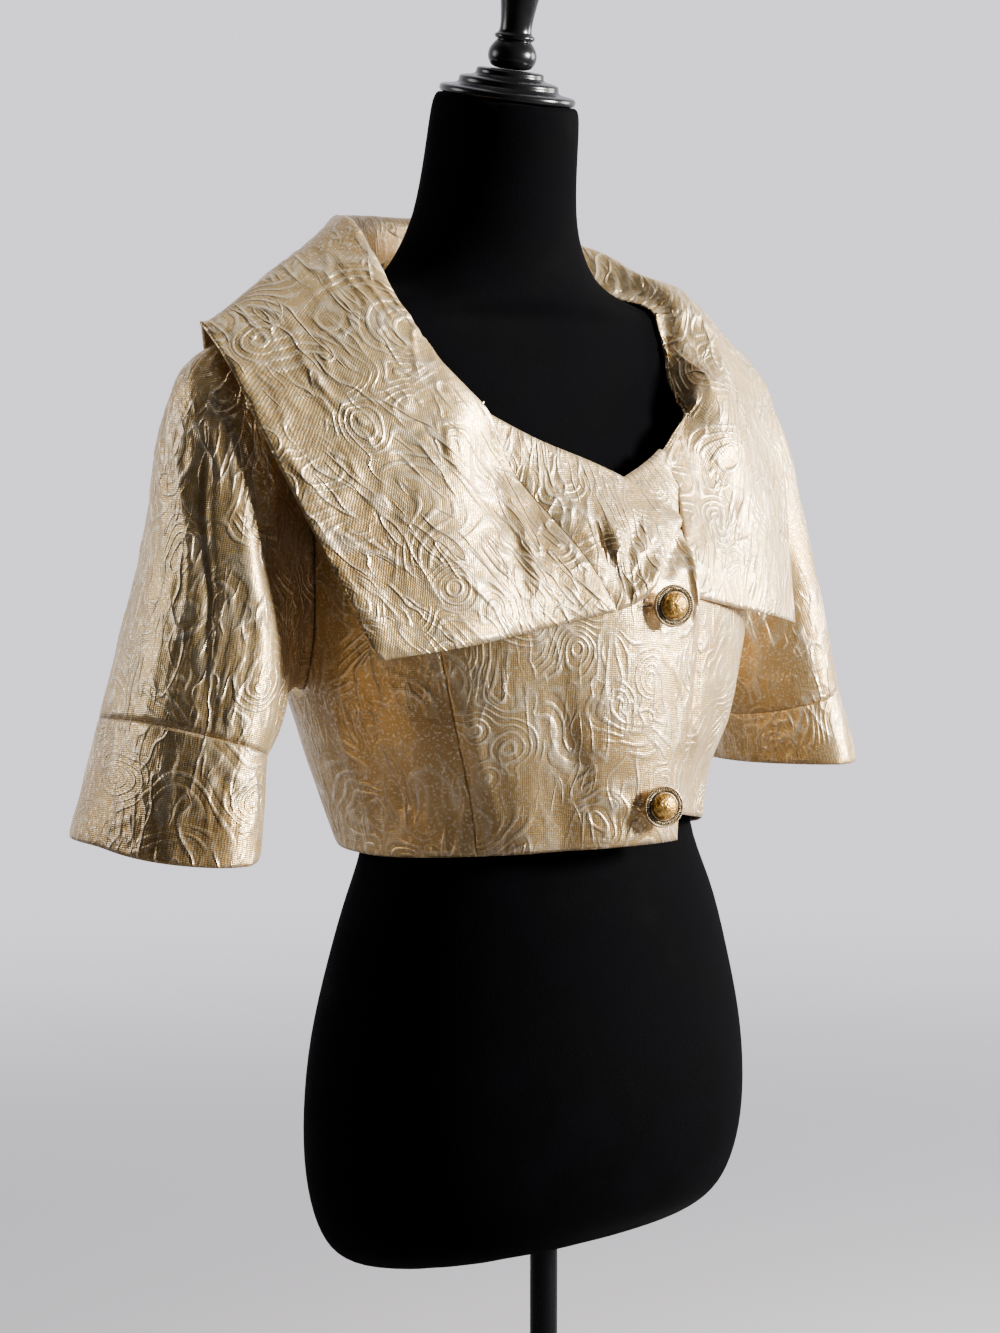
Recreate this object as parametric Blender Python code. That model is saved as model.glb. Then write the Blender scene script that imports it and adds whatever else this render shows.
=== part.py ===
# Short evening jacket with a wide portrait collar, buttoned over a limbless dress form on a stand.
# Metres, +Z up, front towards -Y, wearer's right towards -X, origin on the floor under the stand.
import math

import bmesh
import bpy
import numpy as np

for item in list(bpy.data.objects):
    bpy.data.objects.remove(item, do_unlink=True)

# Cloth and seams
CLOTH = 0.002
SEAM_GAP = 0.0003
LAPEL_LIFT = 0.0054
COLLAR_LIFT = 0.0054
LAPEL_CLOTH = 0.0016

# Where the right front stands out to lap over the left one
OVERLAP_LOW = 0.0032
OVERLAP_HIGH = 0.0080
OVERLAP_GROWS = (0.88, 0.95)
OVERLAP_ACROSS = (-0.085, -0.030)
OVERLAP_ENDS = (1.030, 1.075)

# Heights of the jacket
HEM = 0.778
UNDERARM = 0.885
SEAM_TOP = 1.000
CHEST = 1.040
NECK_POINT = 1.160
SHOULDER_TIP = 1.122
SHOULDER_LINE = 0.037
NECK_POINT_X = 0.128
SHOULDER_TIP_X = 0.205
BACK_NECK_LIFT = 0.020
BACK_NECK_TURN = math.radians(46)
BACK_FULLNESS = 0.70
FRONT_FULLNESS = 1.40
CHEST_REACH = 0.187
HEM_RISE_LEFT = 0.027
HEM_RISE_RIGHT = 0.009
HEM_RISE_REACH = 0.09

# Seams of the body, as turns from the front middle
FRONT_SEAM = math.radians(53)
BACK_SEAM = math.radians(127)
ARMHOLE_FRONT = math.radians(82)
ARMHOLE_BACK = math.radians(122)
SEAM_BEND = 0.075
ARMHOLE_DROP_ROUND = 2.2

# Columns of points across each body panel
FRONT_COLUMNS = 15
FRONT_CROWDING = 1.15
SIDE_COLUMNS = 11
BACK_COLUMNS = 17
LAPEL_COLUMNS = 11

# Soft folds of the fronts: depth, waves round the body, start; and where they fade
FRONT_FOLDS = ((0.0030, 9.0, 0.6), (0.0018, 17.0, 2.0))
FOLD_HEIGHTS = (0.80, 0.94)
FOLD_CLEAR = (0.035, 0.070)

# Sleeves
ARMHOLE_STEPS = (0.0018, 0.010)
SLEEVE_FOLDS = 5
SLEEVE_FOLD_DEPTH = 0.0016
SLEEVE_FOLD_TWIST = 0.25
SLEEVE_FOLD_SIZE = 0.05
LEFT_CUFF_RAISE = 0.014
RIGHT_CUFF_DIP = 0.009
LEFT_CROWN_DROP = 0.012

# Collar and lapels
COLLAR_BULGE = 0.009
LEFT_NECK_IN = 0.0062
LEFT_NECK_DROP_SHARE = 0.35
LEFT_CORNER_RAISE = 0.008
LEFT_SHOULDER_DROP = 0.012
LAPEL_BULGE = 0.002
LAPEL_ROLL_RISE = 0.0034
LAPEL_ROLL_WIDTH = 0.06

# Buttons
BUTTON_RADIUS = 0.014
BUTTON_SEAT = 0.0025
BUTTON_HEIGHTS = {"button_upper": 0.943, "button_lower": 0.813}
BUTTON_TURN = math.radians(20)
BUTTON_SIDES = 20
BUTTON_TILT = math.radians(90)

# Stand and dress form
BASE_RADIUS = 0.150
BASE_HEIGHT = 0.012
BASE_EDGE = 0.004
BASE_SIDES = 48
POLE_RADIUS = 0.0095
POLE_Y = -0.005
POLE_SIDES = 24
NECK_TOP = 1.281
NECK_MIDDLE = 0.034
NECK_LEAN = -0.200
FORM_SIDES = 36
FORM_ROUND = 2.1
CAP_SIDES = 32
FINIAL_SIDES = 20


def table(columns, rows):
    values = np.array(rows, dtype=float)
    return {name: values[:, index] for index, name in enumerate(columns)}


# Level rings of the jacket body: outer surface of the left front, before the overlap.
BODY = table(
    ("z", "middle", "half_width", "front", "back", "front_round", "back_round"),
    (
        (0.775, 0.013, 0.132, 0.122, 0.106, 1.62, 2.3),
        (0.812, 0.015, 0.139, 0.126, 0.120, 1.58, 2.5),
        (0.850, 0.017, 0.153, 0.132, 0.123, 1.74, 2.5),
        (0.900, 0.020, 0.169, 0.137, 0.124, 1.85, 2.5),
        (0.943, 0.022, 0.178, 0.137, 0.122, 1.95, 2.4),
        (0.975, 0.025, 0.182, 0.128, 0.118, 2.00, 2.4),
        (1.000, 0.027, 0.185, 0.110, 0.115, 2.10, 2.4),
        (1.027, 0.030, 0.188, 0.094, 0.112, 2.20, 2.4),
        (1.040, 0.031, 0.190, 0.089, 0.110, 2.20, 2.4),
    ),
)

# Front edge and neckline of the two fronts; positive x is past the middle, to the other side.
FRONT_EDGE = table(
    ("z", "right", "left"),
    (
        (0.775, 0.024, 0.022),
        (0.900, 0.026, 0.022),
        (0.950, 0.028, 0.022),
        (0.980, 0.034, 0.020),
        (0.990, 0.036, 0.018),
        (1.013, 0.000, 0.000),
        (1.030, -0.034, -0.046),
        (1.046, -0.064, -0.074),
        (1.064, -0.096, -0.096),
        (1.090, -0.114, -0.114),
        (1.120, -0.125, -0.125),
        (1.160, -0.128, -0.128),
    ),
)

# Sleeve rings from the armhole down to the cuff hem: highest outer point and lowest inner point.
SLEEVE = table(
    ("ring", "outer_x", "outer_z", "inner_x", "inner_z", "middle", "half_depth", "right_out"),
    (
        (1, 0.228, 1.1185, 0.180, 0.8845, 0.048, 0.050, 0.000),
        (2, 0.249, 1.1080, 0.186, 0.8830, 0.047, 0.050, 0.000),
        (3, 0.264, 1.0850, 0.192, 0.8800, 0.046, 0.051, 0.000),
        (4, 0.272, 1.0500, 0.197, 0.8760, 0.045, 0.054, 0.000),
        (5, 0.277, 1.0100, 0.202, 0.8710, 0.042, 0.060, 0.000),
        (6, 0.284, 0.9600, 0.208, 0.8640, 0.040, 0.065, 0.004),
        (7, 0.292, 0.9150, 0.214, 0.8570, 0.038, 0.067, 0.010),
        (8, 0.299, 0.8780, 0.219, 0.8480, 0.037, 0.067, 0.015),
        (9, 0.309, 0.8380, 0.223, 0.8240, 0.037, 0.071, 0.016),
        (10, 0.317, 0.8000, 0.227, 0.7980, 0.037, 0.075, 0.018),
    ),
)
CUFF_RING = 8
SLEEVE_SIDES = 28

# Right half of the collar from the gorge seam to the middle of the back: neck seam, roll, outer edge.
COLLAR = table(
    ("station", "neck_x", "neck_y", "neck_z", "roll_x", "roll_y", "roll_z",
     "edge_x", "edge_y", "edge_z", "roll_size", "left_drop", "left_in"),
    (
        (0, -0.097, -0.050, 1.070, -0.098, -0.054, 1.073, -0.041, -0.121, 0.941, 0.55, 0.000, 0.022),
        (1, -0.104, -0.045, 1.080, -0.105, -0.049, 1.081, -0.082, -0.117, 0.932, 0.70, 0.000, 0.010),
        (2, -0.113, -0.040, 1.091, -0.113, -0.043, 1.092, -0.135, -0.098, 0.923, 0.85, 0.000, 0.006),
        (3, -0.120, -0.032, 1.104, -0.121, -0.035, 1.106, -0.194, -0.066, 0.914, 1.00, 0.001, 0.010),
        (4, -0.125, -0.020, 1.119, -0.128, -0.024, 1.124, -0.212, -0.045, 0.970, 1.00, 0.003, 0.012),
        (5, -0.128, -0.005, 1.134, -0.134, -0.011, 1.144, -0.226, -0.028, 1.012, 1.00, 0.006, 0.012),
        (6, -0.129, 0.012, 1.149, -0.138, 0.004, 1.165, -0.238, -0.010, 1.052, 1.00, 0.011, 0.011),
        (7, -0.128, 0.029, 1.160, -0.138, 0.020, 1.184, -0.247, 0.014, 1.098, 1.00, 0.018, 0.010),
        (8, -0.121, 0.046, 1.166, -0.133, 0.040, 1.196, -0.250, 0.042, 1.126, 1.00, 0.022, 0.009),
        (9, -0.108, 0.070, 1.166, -0.121, 0.068, 1.199, -0.222, 0.078, 1.104, 1.00, 0.014, 0.004),
        (10, -0.083, 0.096, 1.164, -0.097, 0.097, 1.202, -0.176, 0.126, 1.058, 1.00, 0.004, 0.000),
        (11, -0.045, 0.116, 1.160, -0.054, 0.120, 1.205, -0.100, 0.166, 1.020, 1.00, 0.000, 0.000),
        (12, 0.000, 0.123, 1.158, 0.000, 0.129, 1.206, 0.000, 0.178, 1.006, 1.00, 0.000, 0.000),
    ),
)
COLLAR_CONTROLS = table(
    ("neck", "roll", "edge", "out", "up", "lift", "bulge"),
    (
        (1.00, 0.00, 0.00, 0.0000, 0.0000, 0.000, 0.0),
        (0.45, 0.55, 0.00, -0.0040, -0.0030, 0.000, 0.0),
        (0.00, 1.00, 0.00, -0.0055, -0.0060, 0.000, 0.0),
        (0.00, 1.00, 0.00, 0.0000, 0.0000, 0.000, 0.0),
        (0.00, 1.00, 0.00, 0.0085, -0.0050, 0.000, 0.0),
        (0.00, 0.70, 0.30, 0.0000, 0.0000, 0.002, 1.0),
        (0.00, 0.38, 0.62, 0.0000, 0.0000, 0.001, 0.8),
        (0.00, 0.00, 1.00, 0.0000, 0.0000, 0.000, 0.0),
    ),
)
COLLAR_ROWS = (0, 0.6, 1.2, 1.9, 2.5, 3.0, 3.5, 4.0, 4.4, 4.8, 5.2, 5.6, 5.95, 6.3, 6.65, 7)
COLLAR_FINE = 9
CLEAR_REACH = 0.165

# Shares of the way across a lapel, from its roll line to its free edge
LAPEL_ROWS = (0.0, 0.035, 0.09, 0.22, 0.40, 0.60, 0.80, 1.0)

# Free edge of the right lapel from the break to the gorge, and what its left twin shows.
LAPEL = table(
    ("along", "roll_x", "roll_z", "edge_x", "edge_z"),
    (
        (0.00, 0.0360, 0.9915, 0.0310, 0.9850),
        (0.15, 0.0210, 1.0055, 0.0180, 0.9790),
        (0.30, 0.0040, 1.0175, 0.0050, 0.9710),
        (0.50, -0.0270, 1.0325, -0.0060, 0.9605),
        (0.75, -0.0590, 1.0490, -0.0190, 0.9480),
        (1.00, -0.0945, 1.0690, -0.0390, 0.9410),
    ),
)
LEFT_LAPEL = table(
    ("along", "roll_x", "roll_z", "edge_x", "edge_z"),
    (
        (0.00, 0.0060, 1.0190, 0.0040, 0.9880),
        (0.50, 0.0460, 1.0350, 0.0180, 0.9880),
        (1.00, 0.0945, 1.0680, 0.0360, 0.9900),
    ),
)

# Level rings of the dress form; lean lifts the front of a ring.
TORSO = table(
    ("z", "middle", "half_width", "front", "back", "lean"),
    (
        (0.492, 0.012, 0.090, 0.054, 0.063, 0.220),
        (0.497, 0.012, 0.122, 0.082, 0.090, 0.220),
        (0.508, 0.012, 0.146, 0.101, 0.108, 0.200),
        (0.528, 0.012, 0.160, 0.112, 0.117, 0.160),
        (0.560, 0.012, 0.169, 0.119, 0.122, 0.100),
        (0.600, 0.011, 0.171, 0.121, 0.123, 0.050),
        (0.650, 0.010, 0.167, 0.117, 0.118, 0.000),
        (0.700, 0.009, 0.154, 0.108, 0.109, 0.000),
        (0.745, 0.008, 0.141, 0.100, 0.100, 0.000),
        (0.785, 0.009, 0.120, 0.086, 0.092, 0.000),
        (0.840, 0.013, 0.126, 0.092, 0.094, 0.000),
        (0.890, 0.018, 0.142, 0.108, 0.098, 0.000),
        (0.935, 0.020, 0.154, 0.124, 0.100, 0.000),
        (0.975, 0.023, 0.158, 0.112, 0.098, 0.000),
        (1.020, 0.028, 0.168, 0.079, 0.096, 0.000),
        (1.060, 0.034, 0.176, 0.066, 0.090, 0.000),
        (1.090, 0.039, 0.181, 0.057, 0.082, 0.000),
        (1.115, 0.043, 0.1835, 0.047, 0.070, 0.000),
        (1.1294, 0.045, 0.1810, 0.042, 0.060, 0.000),
        (1.139, 0.046, 0.145, 0.048, 0.062, 0.000),
        (1.147, 0.047, 0.115, 0.052, 0.062, -0.030),
        (1.156, 0.048, 0.091, 0.053, 0.061, -0.060),
        (1.170, 0.048, 0.074, 0.053, 0.059, -0.080),
        (1.200, 0.045, 0.056, 0.051, 0.055, -0.120),
        (1.240, 0.040, 0.052, 0.050, 0.051, -0.160),
        (1.276, 0.035, 0.050, 0.050, 0.050, -0.190),
        (1.281, 0.034, 0.047, 0.047, 0.047, -0.200),
    ),
)

# Turned profiles, radius and height above the seat.
CAP_PROFILE = (
    (0.0440, 0.0000), (0.0467, 0.0012), (0.0467, 0.0046), (0.0450, 0.0060), (0.0360, 0.0072),
    (0.0342, 0.0088), (0.0342, 0.0118), (0.0326, 0.0132), (0.0245, 0.0146), (0.0232, 0.0160),
    (0.0232, 0.0186), (0.0215, 0.0200),
)
FINIAL_PROFILE = (
    (0.0125, 0.0203), (0.0160, 0.0250), (0.0168, 0.0290), (0.0160, 0.0335), (0.0125, 0.0385),
    (0.0112, 0.0395), (0.0136, 0.0405), (0.0138, 0.0430), (0.0112, 0.0442), (0.0107, 0.0490),
    (0.0116, 0.0580), (0.0132, 0.0680), (0.0145, 0.0780), (0.0150, 0.0880), (0.0140, 0.0980),
    (0.0118, 0.1070), (0.0090, 0.1130), (0.0050, 0.1170),
)
BUTTON_PROFILE = (
    (0.0022, 0.0004), (0.0022, 0.0052), (0.0120, 0.0062), (0.0136, 0.0072), (0.0140, 0.0084),
    (0.0136, 0.0096), (0.0122, 0.0102), (0.0106, 0.0098), (0.0094, 0.0092), (0.0086, 0.0104),
    (0.0066, 0.0128), (0.0036, 0.0143), (0.0016, 0.0146),
)


def smooth(tab, key, name, at):
    # Smooth curve through a table's rows that never overshoots them.
    places, values = tab[key], tab[name]
    steps = np.diff(places)
    rises = np.diff(values) / steps
    slope = np.zeros(len(places))
    slope[0], slope[-1] = rises[0], rises[-1]
    for i in range(1, len(places) - 1):
        if rises[i - 1] * rises[i] > 0:
            before = 2 * steps[i] + steps[i - 1]
            after = steps[i] + 2 * steps[i - 1]
            slope[i] = (before + after) / (before / rises[i - 1] + after / rises[i])
    i = int(np.clip(np.searchsorted(places, at) - 1, 0, len(steps) - 1))
    t = float(np.clip((at - places[i]) / steps[i], 0.0, 1.0))
    start = values[i] * (1 + 2 * t) * (1 - t) ** 2 + values[i + 1] * t * t * (3 - 2 * t)
    return start + steps[i] * (slope[i] * t * (1 - t) ** 2 - slope[i + 1] * t * t * (1 - t))


def ramp(value, low, high):
    t = min(max((value - low) / (high - low), 0.0), 1.0)
    return t * t * (3 - 2 * t)


def signed_power(value, power):
    return math.copysign(abs(value) ** power, value)


def body_point(turn, z):
    # Outer surface of the body; turn 0 is the front middle and grows towards wearer's left.
    row = {name: smooth(BODY, "z", name, z) for name in BODY if name != "z"}
    forward = math.cos(turn) > 0
    power = 2.0 / row["front_round" if forward else "back_round"]
    depth = row["front" if forward else "back"]
    x = row["half_width"] * signed_power(math.sin(turn), power)
    y = row["middle"] - depth * signed_power(math.cos(turn), power)
    return np.array((x, y, z))


def turn_at(x, z, back=False):
    # Turn whose body point has the wanted x.
    half = smooth(BODY, "z", "half_width", z)
    rounding = smooth(BODY, "z", "back_round" if back else "front_round", z)
    sine = signed_power(np.clip(x / half, -1, 1), rounding / 2.0)
    return math.pi - math.asin(sine) if back else math.asin(sine)


def ridge_height(x):
    # Height of the shoulder seam, which falls from the neck point to the tip.
    fall = (NECK_POINT - SHOULDER_TIP) / (SHOULDER_TIP_X - NECK_POINT_X)
    return NECK_POINT - fall * max(abs(x) - NECK_POINT_X, 0.0)


def yoke_point(x, lift, back=False):
    # Surface above the chest: lift 0 is chest level and a quarter turn is the shoulder seam.
    x_chest = np.clip(x, -CHEST_REACH, CHEST_REACH)
    base = body_point(turn_at(x_chest, CHEST, back), CHEST)
    full = BACK_FULLNESS if back else FRONT_FULLNESS
    near = 1.0 - min(abs(x) / NECK_POINT_X, 1.0) ** 2
    top = ridge_height(x) + (BACK_NECK_LIFT * near if back else 0.0)
    y = SHOULDER_LINE + (base[1] - SHOULDER_LINE) * max(math.cos(lift), 0.0) ** full
    z = CHEST + (top - CHEST) * max(math.sin(lift), 0.0) ** full
    return np.array((x, y, z))


def front_lift(share):
    # Lift of the front yoke at a share of the height from the chest to the shoulder seam.
    return math.asin(min(share, 1.0) ** (1 / FRONT_FULLNESS))


def front_surface(x, z):
    # Outer surface of the fronts at a place given from the front.
    if z <= CHEST:
        return body_point(turn_at(x, z), z)
    return yoke_point(x, front_lift((z - CHEST) / (ridge_height(x) - CHEST)))


def front_normal(x, z):
    step = 0.004
    across = front_surface(x + step, z) - front_surface(x - step, z)
    up = front_surface(x, z + step) - front_surface(x, z - step)
    normal = np.cross(across, up)
    return normal / np.linalg.norm(normal)


def overlap_lift(x, z):
    # How far the right front stands out where it laps over the left one and its collar.
    height = OVERLAP_LOW + (OVERLAP_HIGH - OVERLAP_LOW) * ramp(z, *OVERLAP_GROWS)
    return height * ramp(x, *OVERLAP_ACROSS) * (1.0 - ramp(z, *OVERLAP_ENDS))


def right_surface(x, z, lift=0.0):
    return front_surface(x, z) + front_normal(x, z) * (overlap_lift(x, z) + lift)


def left_surface(x, z, lift=0.0):
    return front_surface(x, z) + front_normal(x, z) * lift


def grid_normals(grid, around):
    if around:
        along = np.roll(grid, -1, axis=1) - np.roll(grid, 1, axis=1)
    else:
        along = np.gradient(grid, axis=1)
    down = np.gradient(grid, axis=0)
    normal = np.cross(along, down)
    return normal / np.linalg.norm(normal, axis=2, keepdims=True)


def material(name, colour, roughness, metallic):
    item = bpy.data.materials.get(name) or bpy.data.materials.new(name)
    item.use_nodes = True
    shader = item.node_tree.nodes["Principled BSDF"]
    shader.inputs["Base Color"].default_value = (*colour, 1.0)
    shader.inputs["Roughness"].default_value = roughness
    shader.inputs["Metallic"].default_value = metallic
    return item


def add_object(name, shape, finish):
    bmesh.ops.recalc_face_normals(shape, faces=shape.faces)
    mesh = bpy.data.meshes.new(name)
    shape.to_mesh(mesh)
    shape.free()
    mesh.shade_smooth()
    mesh.set_sharp_from_angle(angle=math.radians(40))
    mesh.materials.append(finish)
    item = bpy.data.objects.new(name, mesh)
    bpy.context.scene.collection.objects.link(item)
    return item


def wall(name, grid, finish, outward=1.0, around=False, thickness=CLOTH):
    # Closed cloth wall: the grid is its outer face, and the inner face lies one thickness behind.
    grid = np.asarray(grid)
    inner = grid - grid_normals(grid, around) * thickness * outward
    rows, columns = grid.shape[:2]
    shape = bmesh.new()
    skins = []
    for skin in (grid, inner):
        skins.append([[shape.verts.new(point) for point in row] for row in skin])
    last = columns if around else columns - 1
    for r in range(rows - 1):
        for c in range(last):
            d = (c + 1) % columns
            for skin, order in ((skins[0], 1), (skins[1], -1)):
                corners = (skin[r][c], skin[r][d], skin[r + 1][d], skin[r + 1][c])
                shape.faces.new(corners[::order])
    for r in (0, rows - 1):
        for c in range(last):
            d = (c + 1) % columns
            shape.faces.new((skins[0][r][c], skins[0][r][d], skins[1][r][d], skins[1][r][c]))
    if not around:
        for c in (0, columns - 1):
            for r in range(rows - 1):
                shape.faces.new((skins[0][r][c], skins[0][r + 1][c], skins[1][r + 1][c], skins[1][r][c]))
    return add_object(name, shape, finish)


def rings_solid(name, rings, finish):
    # Closed solid through rings, with a flat face on the first and the last.
    shape = bmesh.new()
    loops = [[shape.verts.new(point) for point in ring] for ring in rings]
    for lower, upper in zip(loops, loops[1:]):
        for i in range(len(lower)):
            j = (i + 1) % len(lower)
            shape.faces.new((lower[i], lower[j], upper[j], upper[i]))
    shape.faces.new(loops[0][::-1])
    shape.faces.new(loops[-1])
    return add_object(name, shape, finish)


def turned(name, profile, sides, finish, place, tilt=0.0, turn=0.0):
    # Turned solid on an axis that tips forward by tilt and then turns about +Z.
    axis = np.array((0.0, -math.sin(tilt), math.cos(tilt)))
    side = np.array((1.0, 0.0, 0.0))
    spin = np.array(((math.cos(turn), -math.sin(turn), 0), (math.sin(turn), math.cos(turn), 0), (0, 0, 1)))
    axis, side = spin @ axis, spin @ side
    cross = np.cross(axis, side)
    rings = []
    for radius, height in profile:
        angles = np.arange(sides) * 2 * math.pi / sides
        rings.append([np.array(place) + axis * height + radius * (side * math.cos(a) + cross * math.sin(a))
                      for a in angles])
    return rings_solid(name, rings, finish)


BROCADE = material("brocade", (0.72, 0.60, 0.42), 0.45, 0.35)
FACING = material("brocade_facing", (0.76, 0.65, 0.48), 0.42, 0.35)
VELVET = material("velvet", (0.004, 0.004, 0.005), 0.95, 0.0)
LACQUER = material("black_lacquer", (0.006, 0.006, 0.006), 0.12, 0.0)
STAND_METAL = material("stand_metal", (0.01, 0.01, 0.01), 0.35, 1.0)
GILT = material("antique_gilt", (0.55, 0.38, 0.14), 0.35, 1.0)

# Rows shared by every body panel, so that seams meet row by row.
LOW_LEVELS = np.array((HEM, 0.800, 0.825, 0.850, 0.875, 0.900, 0.922, 0.943, 0.957, 0.971, 0.985, SEAM_TOP))
UP_LEVELS = np.array((1.008, 1.017, 1.027, CHEST))
BACK_YOKE_SHARES = (0.16, 0.32, 0.48, 0.64, 0.80, 0.91, 1.0)
YOKE_HEIGHTS = np.array((1.053, 1.067, 1.090, 1.115, 1.137, 1.152, NECK_POINT))


def hem_lift(turn, z, left):
    # The hem rises towards the front, more on the left front.
    rise = (HEM_RISE_LEFT if left else HEM_RISE_RIGHT) * max(math.cos(turn), 0.0) ** 2
    return rise * (1.0 - ramp(z, HEM, HEM + HEM_RISE_REACH))


def armhole_floor(across):
    # Lower half of the armhole, from its front end to its back end: turn and height.
    turn = ARMHOLE_FRONT + (ARMHOLE_BACK - ARMHOLE_FRONT) * across
    return turn, SEAM_TOP - (SEAM_TOP - UNDERARM) * (1.0 - abs(2 * across - 1) ** ARMHOLE_DROP_ROUND)


def side_turn(across, z):
    # Lines of the side panel run straight up, then bend to the armhole.
    low = FRONT_SEAM + (BACK_SEAM - FRONT_SEAM) * across
    turn, top = armhole_floor(across)
    return low + (turn - low) * ramp(z, top - SEAM_BEND, top)


def seam_step(turn, z, distance):
    # Turn that lies a small distance along the ring from another.
    here, there = body_point(turn, z), body_point(turn + 0.01, z)
    return turn + 0.01 * distance / np.linalg.norm(there - here)


def front_fold(turn, z):
    # Soft hanging folds below the bust.
    waves = sum(depth * math.sin(turn * count + start) for depth, count, start in FRONT_FOLDS)
    return (1.0 - ramp(z, *FOLD_HEIGHTS)) * waves


def push_out(point, turn, amount):
    return point + np.array((math.sin(turn), -math.cos(turn), 0.0)) * amount


def front_panel(side):
    # One front, side -1 for wearer's right; columns run from the front edge to the side seam.
    left = side > 0
    name = "left" if left else "right"
    spread = np.linspace(0, 1, FRONT_COLUMNS) ** FRONT_CROWDING
    rows = []
    for z in np.concatenate((LOW_LEVELS, UP_LEVELS)):
        edge = -side * smooth(FRONT_EDGE, "z", name, z)
        inner_turn = turn_at(edge, z)
        if z <= SEAM_TOP:
            outer_turn = seam_step(side * side_turn(0, z), z, -side * SEAM_GAP / 2)
        else:
            outer_turn = side * ARMHOLE_FRONT
        row = []
        for share in spread:
            turn = inner_turn + (outer_turn - inner_turn) * share
            point = body_point(turn, z)
            fade = ramp(abs(point[0]), *FOLD_CLEAR) * ramp(1 - share, 0.0, 0.25)
            point = push_out(point, turn, front_fold(side * turn, z) * fade)
            if not left:
                point = point + front_normal(point[0], z) * overlap_lift(point[0], z)
            point[2] += hem_lift(turn, z, left)
            row.append(point)
        rows.append(row)
    chest_end = abs(rows[-1][-1][0])
    for height in YOKE_HEIGHTS:
        lift = front_lift((height - CHEST) / (NECK_POINT - CHEST))
        edge = smooth(FRONT_EDGE, "z", name, height)
        outer = chest_end + (SHOULDER_TIP_X - chest_end) * math.sin(lift)
        row = []
        for share in spread:
            x = side * (-edge + (outer + edge) * share)
            point = yoke_point(x, lift)
            if not left:
                point = point + np.array((0, -1, 0)) * overlap_lift(x, point[2])
            row.append(point - np.array((0, SEAM_GAP / 2 * math.sin(lift), 0)))
        rows.append(row)
    wall("front_" + name, rows, BROCADE, outward=-side)
    return [row[-1] for row in rows[len(LOW_LEVELS) - 1:]]


def side_panel(side):
    # Panel under the arm, from the front seam to the back seam; its top is the armhole's floor.
    name = "left" if side > 0 else "right"
    shares = (LOW_LEVELS - HEM) / (SEAM_TOP - HEM)
    rows = []
    for share in shares:
        row = []
        for across in np.linspace(0, 1, SIDE_COLUMNS):
            z = HEM + (armhole_floor(across)[1] - HEM) * share
            gap = SEAM_GAP * (0.5 - across)
            turn = seam_step(side_turn(across, z), z, gap)
            point = body_point(side * turn, z)
            point[2] += hem_lift(turn, z, side > 0)
            row.append(point)
        rows.append(row)
    wall("side_" + name, rows, BROCADE, outward=-side)
    return rows[-1]


def back_panel():
    # Whole back; columns run from wearer's right to left, each up to the neck or the shoulder.
    rows = []
    for z in np.concatenate((LOW_LEVELS, UP_LEVELS)):
        if z <= SEAM_TOP:
            start = seam_step(side_turn(1, z), z, SEAM_GAP / 2)
        else:
            start = ARMHOLE_BACK
        turns = np.linspace(2 * math.pi - start, start, BACK_COLUMNS)
        rows.append([body_point(turn, z) for turn in turns])
    chest_x = np.array([point[0] for point in rows[-1]])
    for share in BACK_YOKE_SHARES:
        row = []
        for x0 in chest_x:
            open_neck = 1.0 - min(abs(x0) / NECK_POINT_X, 1.0) ** 3
            top = math.pi / 2 + (BACK_NECK_TURN - math.pi / 2) * open_neck
            lift = top * share
            x = x0 * (1 + (SHOULDER_TIP_X / abs(chest_x[0]) - 1) * math.sin(lift))
            point = yoke_point(x, lift, back=True)
            row.append(point + np.array((0, SEAM_GAP / 2 * math.sin(lift), 0)))
        rows.append(row)
    wall("back", rows, BROCADE, outward=1.0)
    first = len(LOW_LEVELS) - 1
    return {-1: [row[0] for row in rows[first:]], 1: [row[-1] for row in rows[first:]]}


def resample(points, count):
    # Even steps round a closed line.
    points = np.array(points)
    closed = np.vstack((points, points[:1]))
    length = np.concatenate(((0,), np.cumsum(np.linalg.norm(np.diff(closed, axis=0), axis=1))))
    wanted = np.arange(count) * length[-1] / count
    return np.stack([np.interp(wanted, length, closed[:, axis]) for axis in range(3)], axis=1)


def sleeve_ring(side, ring):
    row = {name: smooth(SLEEVE, "ring", name, ring) for name in SLEEVE if name != "ring"}
    outer = np.array((row["outer_x"], row["outer_z"]))
    inner = np.array((row["inner_x"], row["inner_z"]))
    middle, half = (outer + inner) / 2, (outer - inner) / 2
    low = ramp(ring, CUFF_RING, 10)
    shift = row["right_out"] if side < 0 else 0.0
    points = []
    for i in range(SLEEVE_SIDES):
        angle = math.pi / 2 - 2 * math.pi * i / SLEEVE_SIDES
        fold = math.sin(SLEEVE_FOLDS * angle + ring * SLEEVE_FOLD_TWIST)
        size = 1.0 + ramp(ring, 2, 6) * SLEEVE_FOLD_DEPTH * fold / SLEEVE_FOLD_SIZE
        across = middle + half * math.sin(angle) * size
        y = row["middle"] - row["half_depth"] * math.cos(angle) * size
        front = max(math.cos(angle), 0.0)
        z = across[1] + (LEFT_CUFF_RAISE if side > 0 else -RIGHT_CUFF_DIP * front) * low
        if side > 0:
            z -= LEFT_CROWN_DROP * (1.0 - ramp(ring, 2, 5)) * max(math.sin(angle), 0.0)
        points.append((side * (across[0] + shift * (0.6 + 0.4 * math.sin(angle))), y, z))
    return np.array(points)


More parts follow.
